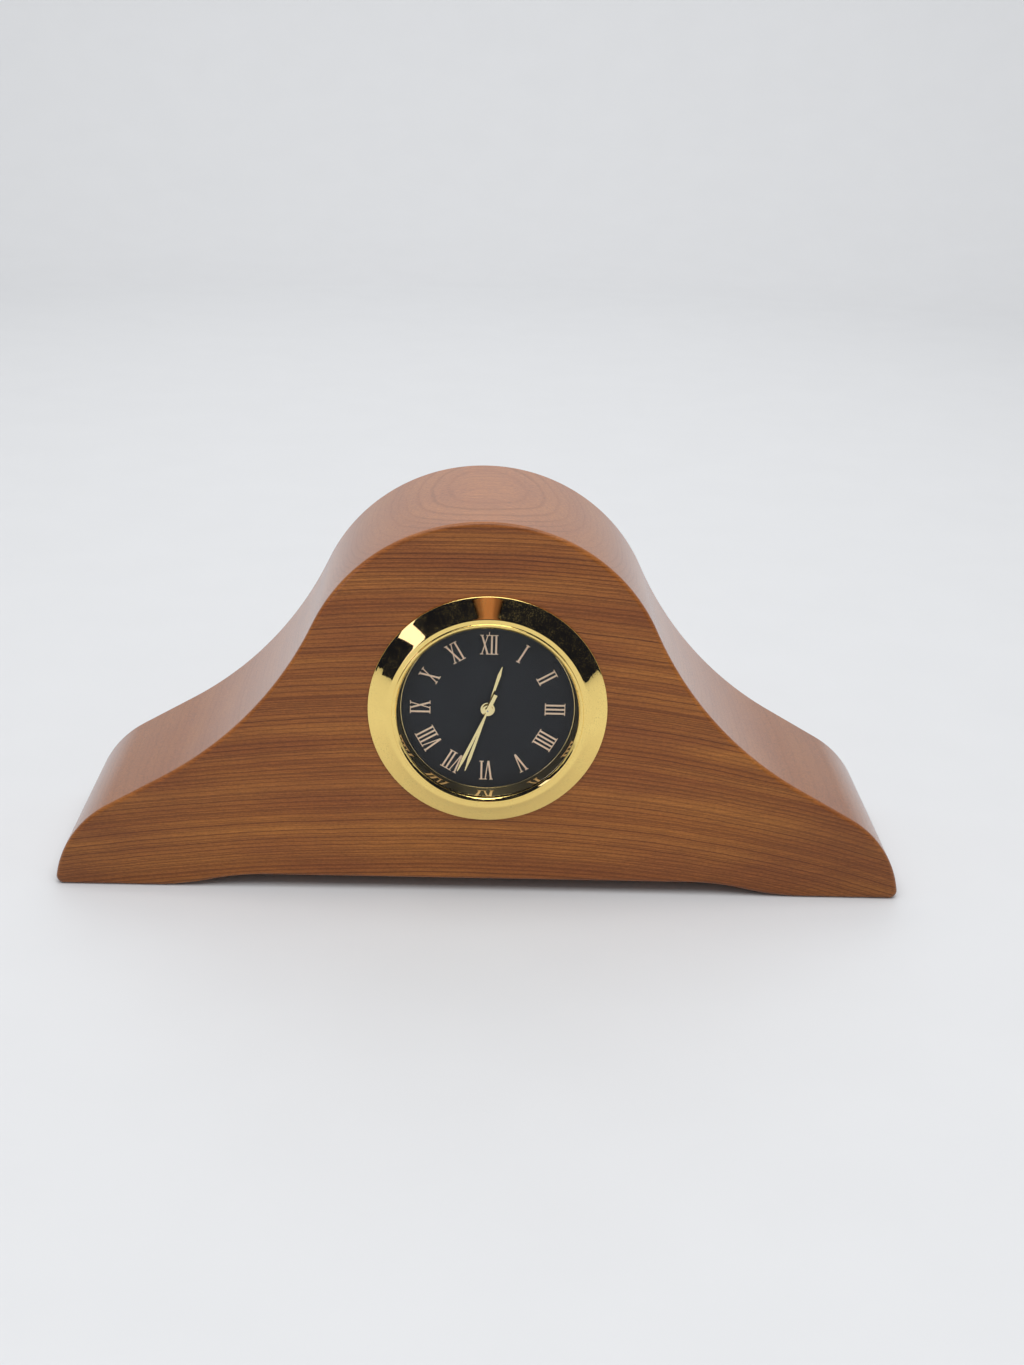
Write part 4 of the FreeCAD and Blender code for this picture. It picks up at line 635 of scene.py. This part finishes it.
caseBlack = makePlastic("case_plastic", (34, 34, 36), 0.45)
holderWhite = makePlastic("holder_plastic", (222, 220, 212), 0.5)
plateGrey = makePlastic("plate_plastic", (86, 90, 96), 0.5)
rubber = makePlastic("grip_rubber", (26, 26, 27), 0.75, 0.12, 0.5)
chipBlack = makePlastic("chip_resin", (28, 28, 30), 0.6, 0.1, 0.4)
bridgeMetal = makeMetal("bridge_brushed", (196, 198, 202), 0.32)
wheelBrass = makeMetal("wheel_brass", (206, 170, 92), 0.28, (5.0, 0.5, 5.0))
pinionSteel = makeMetal("pinion_steel", (184, 186, 190), 0.22, (0.6, 6.0, 0.6))
magnetDark = makeMetal("magnet_ceramic", (70, 70, 74), 0.5, (3, 3, 3), 0.4, 0.25)
statorIron = makeMetal("stator_sheet", (176, 176, 172), 0.36, (0.4, 0.4, 5.0))
cellSteel = makeMetal("cell_can", (206, 208, 212), 0.2, (3.0, 0.2, 3.0), 0.15)
springSteel = makeMetal("spring_strip", (190, 188, 182), 0.26, (5.0, 1.0, 0.4))
crystalCan = makeMetal("crystal_tin", (200, 202, 206), 0.24, (5.0, 3.0, 0.4), 0.2)
screwSteel = makeMetal("screw_steel", (198, 200, 204), 0.2, (3.0, 3.0, 3.0), 0.2)
crownGilt = makeGilt("crown_gilt", (232, 204, 126), 0.16, 0.15)
handGilt = makeGilt("hand_gilt", (255, 232, 172), 0.12, 0.01)

nodeFinishes = {
    "lens": makeLensGlass(lensGlass), "dial": makeDialBlack(dialBlack),
    "dial_numerals": makeInk(numeralInk), "hour_hand": handGilt, "minute_hand": handGilt,
    "second_hand": handGilt,
    "insert_case": caseBlack, "back_cover": caseBlack, "grip_ring": rubber,
    "movement_holder": holderWhite, "main_plate": plateGrey, "train_bridge": bridgeMetal,
    "circuit_board": makeBoard(boardLacquer), "circuit_chip": chipBlack, "quartz_crystal": crystalCan,
    "plate_screws": screwSteel, "coil_winding": makeCopperWire(copperWire), "coil_core": statorIron,
    "stator": statorIron, "rotor_magnet": magnetDark, "rotor_pinion": pinionSteel,
    "seconds_arbor": pinionSteel, "cannon_pinion": pinionSteel, "clutch_pinion": pinionSteel,
    "setting_stem": pinionSteel, "fifth_wheel": wheelBrass, "fourth_wheel": wheelBrass,
    "third_wheel": wheelBrass, "centre_wheel": wheelBrass,
    "minute_wheel": wheelBrass, "hour_wheel": wheelBrass, "dial_washer": wheelBrass,
    "button_cell": cellSteel, "cell_contact": springSteel, "cell_clamp": springSteel,
    "setting_lever": springSteel, "lever_cover": springSteel, "crown": crownGilt,
}

for name, finish in nodeFinishes.items():
    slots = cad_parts[name].material_slots
    for slot in slots:
        slot.material = finish
    if not slots:
        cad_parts[name].data.materials.append(finish)
print("stage: finishes set")

studio = {
    "floor": (208, 209, 211), "fineScale": (0.05, 0.05, 0.05), "fineTone": [(0.3, 0.985), (0.7, 1.0)],
    "rough": 0.5, "specular": 0.2, "near": -1.4, "side": 1.6, "height": 1.2,
    "sweepStart": 0.62, "sweepRadius": 0.3, "sweepSteps": 24, "wallStart": 0.6, "wallSteps": 96,
    "world": 0.5, "worldTone": (0.97, 0.985, 1.0, 1),
    "lamps": [("overhead_box", (0, -0.28, 0.8), 0.9, 7.1), ("rear_box", (0, 0.55, 0.45), 0.7, 1.4)],
    "wallUnseenBy": ("diffuse", "glossy", "transmission", "volume_scatter", "shadow"),
}

# cards round the dial for the gilt to mirror, in metres and degrees: turns count from the front to the
# right, rises from level
cards = {
    "middle": Vector((0, 0, 0.031)),
    "unseenBy": ("camera", "diffuse", "transmission", "volume_scatter", "shadow"),
    "dark": {"tone": (0.008, 0.01, 0.03, 1), "strength": 1.0, "radius": 0.21, "turns": (-70, 70),
             "rises": (0, 62), "steps": 110, "fray": 0.016, "frayScale": 210},
    "bright": {"tone": (1.0, 0.95, 1.35, 1), "strength": 1.6, "radius": 0.2037,
               "ends": ((-25.4, -1.6), (-57.4, 33.4)), "half": 4},
    "amber": {"tone": toLinear(190, 134, 116), "strength": 0.85, "radius": 0.2037, "turns": (-10, 9),
              "rises": (24, 50), "steps": 8, "middle": -0.5, "half": 9.5,
              "fade": [(0.25, 1.0), (0.6, 0.5), (1.0, 0.0)]},
}


def makeStage(bm, name, material, unseenBy=()):
    thing = meshObject(bm, name, material)
    for ray in unseenBy:
        setattr(thing, "visible_" + ray, False)


def sweepUp(bm, corner, setup):
    centre = corner.co + Vector((0, 0, setup["sweepRadius"]))
    made = bmesh.ops.spin(bm, geom=[corner], cent=centre, axis=(1, 0, 0), angle=math.pi / 2,
                          steps=setup["sweepSteps"], use_duplicate=False)
    lineFrom(bm, made["geom_last"][0], (0, 0, setup["height"]))


def makeFloor(setup):
    material, shader = newMaterial("paper_floor")
    fine = noise(material, millimetres(material, setup["fineScale"]), detail=3.0)
    tone = shade(material, toLinear(*setup["floor"]), fine, setup["fineTone"])
    setShader(material, shader, colour=tone, rough=setup["rough"], specular=setup["specular"])
    bm = bmesh.new()
    corner = bm.verts.new((-setup["side"], setup["near"], 0))
    sweepUp(bm, lineFrom(bm, corner, (0, setup["sweepStart"] - setup["near"], 0)), setup)
    made = bmesh.ops.extrude_edge_only(bm, edges=bm.edges[:])
    bmesh.ops.translate(bm, vec=(2 * setup["side"], 0, 0), verts=vertsOf(made))
    bmesh.ops.recalc_face_normals(bm, faces=bm.faces)
    makeStage(bm, "floor_sweep", material)

    # a round wall that only a camera sees, so that the ground is the same from every side
    bm = bmesh.new()
    sweepUp(bm, bm.verts.new((0, setup["wallStart"], 0)), setup)
    bmesh.ops.spin(bm, geom=bm.verts[:] + bm.edges[:], cent=(0, 0, 0), axis=(0, 0, 1), angle=2 * math.pi,
                   steps=setup["wallSteps"], use_merge=True, use_duplicate=False)
    bmesh.ops.recalc_face_normals(bm, faces=bm.faces)
    bmesh.ops.reverse_faces(bm, faces=bm.faces)
    makeStage(bm, "round_wall", material, setup["wallUnseenBy"])


def makeGlow(name, card):
    material, shader = newMaterial(name)
    glow = addNode(material, "ShaderNodeEmission", inputs={0: card["tone"], 1: card["strength"]})
    useSurface(material, shader, glow.outputs[0])
    return material


def softenSides(material, card):
    split = addNode(material, "ShaderNodeSeparateXYZ", inputs={0: millimetres(material)})
    ahead = calc(material, "MULTIPLY", split.outputs[1], -1.0)
    turn = calc(material, "ARCTAN2", split.outputs[0], ahead)
    aside = calc(material, "ABSOLUTE", calc(material, "SUBTRACT", turn, math.radians(card["middle"])))
    share = ramp(material, calc(material, "DIVIDE", aside, math.radians(card["half"])),
                 [(place, card["strength"] * level) for place, level in card["fade"]], smooth=True)
    feed(material, material.node_tree.nodes["Emission"].inputs["Strength"], share)
    return material


def aimFrom(turn, rise):
    turn, rise = math.radians(turn), math.radians(rise)
    return Vector((math.sin(turn) * math.cos(rise), -math.cos(turn) * math.cos(rise), math.sin(rise)))


def makeStrip(name, material, card):
    first, last = (aimFrom(*end) for end in card["ends"])
    across = first.cross(last).normalized() * math.tan(math.radians(card["half"]))
    bm = bmesh.new()
    corners = [bm.verts.new(cards["middle"] + (aim + side) * card["radius"])
               for aim, side in ((first, across), (last, across), (last, -across), (first, -across))]
    bmesh.ops.contextual_create(bm, geom=corners)
    makeStage(bm, name, material, cards["unseenBy"])


# a piece of a sphere round the dial
def makeFlag(name, material, card):
    middle, (low, high), (fromTurn, toTurn) = cards["middle"], card["rises"], card["turns"]
    bm = bmesh.new()
    start = bm.verts.new(middle + aimFrom(0, low) * card["radius"])
    bmesh.ops.spin(bm, geom=[start], cent=middle, axis=(1, 0, 0), angle=-math.radians(high - low),
                   steps=card["steps"], use_duplicate=False)
    bmesh.ops.rotate(bm, verts=bm.verts, cent=middle,
                     matrix=Matrix.Rotation(math.radians(fromTurn), 3, "Z"))
    bmesh.ops.spin(bm, geom=bm.verts[:] + bm.edges[:], cent=middle, axis=(0, 0, 1),
                   angle=math.radians(toTurn - fromTurn), steps=card["steps"], use_duplicate=False)
    if "fray" in card:
        for corner in bm.verts:
            if corner.is_boundary:
                corner.co += waves.noise_vector(corner.co * card["frayScale"]) * card["fray"]
    makeStage(bm, name, material, cards["unseenBy"])


def makeLights(setup):
    world = bpy.data.worlds.new("soft_room")
    world.use_nodes = True
    background = world.node_tree.nodes["Background"]
    background.inputs["Color"].default_value = setup["worldTone"]
    background.inputs["Strength"].default_value = setup["world"]
    bpy.context.scene.world = world
    for name, place, side, power in setup["lamps"]:
        lamp = bpy.data.lights.new(name, "AREA")
        lamp.shape = "SQUARE"
        lamp.size = side
        lamp.energy = power
        addObject(name, lamp).location = place


makeFloor(studio)
makeLights(studio)
darkGlow = makeGlow("dark_flag", cards["dark"])
brightGlow = makeGlow("bright_flag", cards["bright"])
amberGlow = softenSides(makeGlow("amber_flag", cards["amber"]), cards["amber"])
makeFlag("front_flag", darkGlow, cards["dark"])
makeStrip("bright_flag", brightGlow, cards["bright"])
makeFlag("amber_flag", amberGlow, cards["amber"])

bpy.context.scene.view_settings.view_transform = "Standard"
print("stage: studio lit")
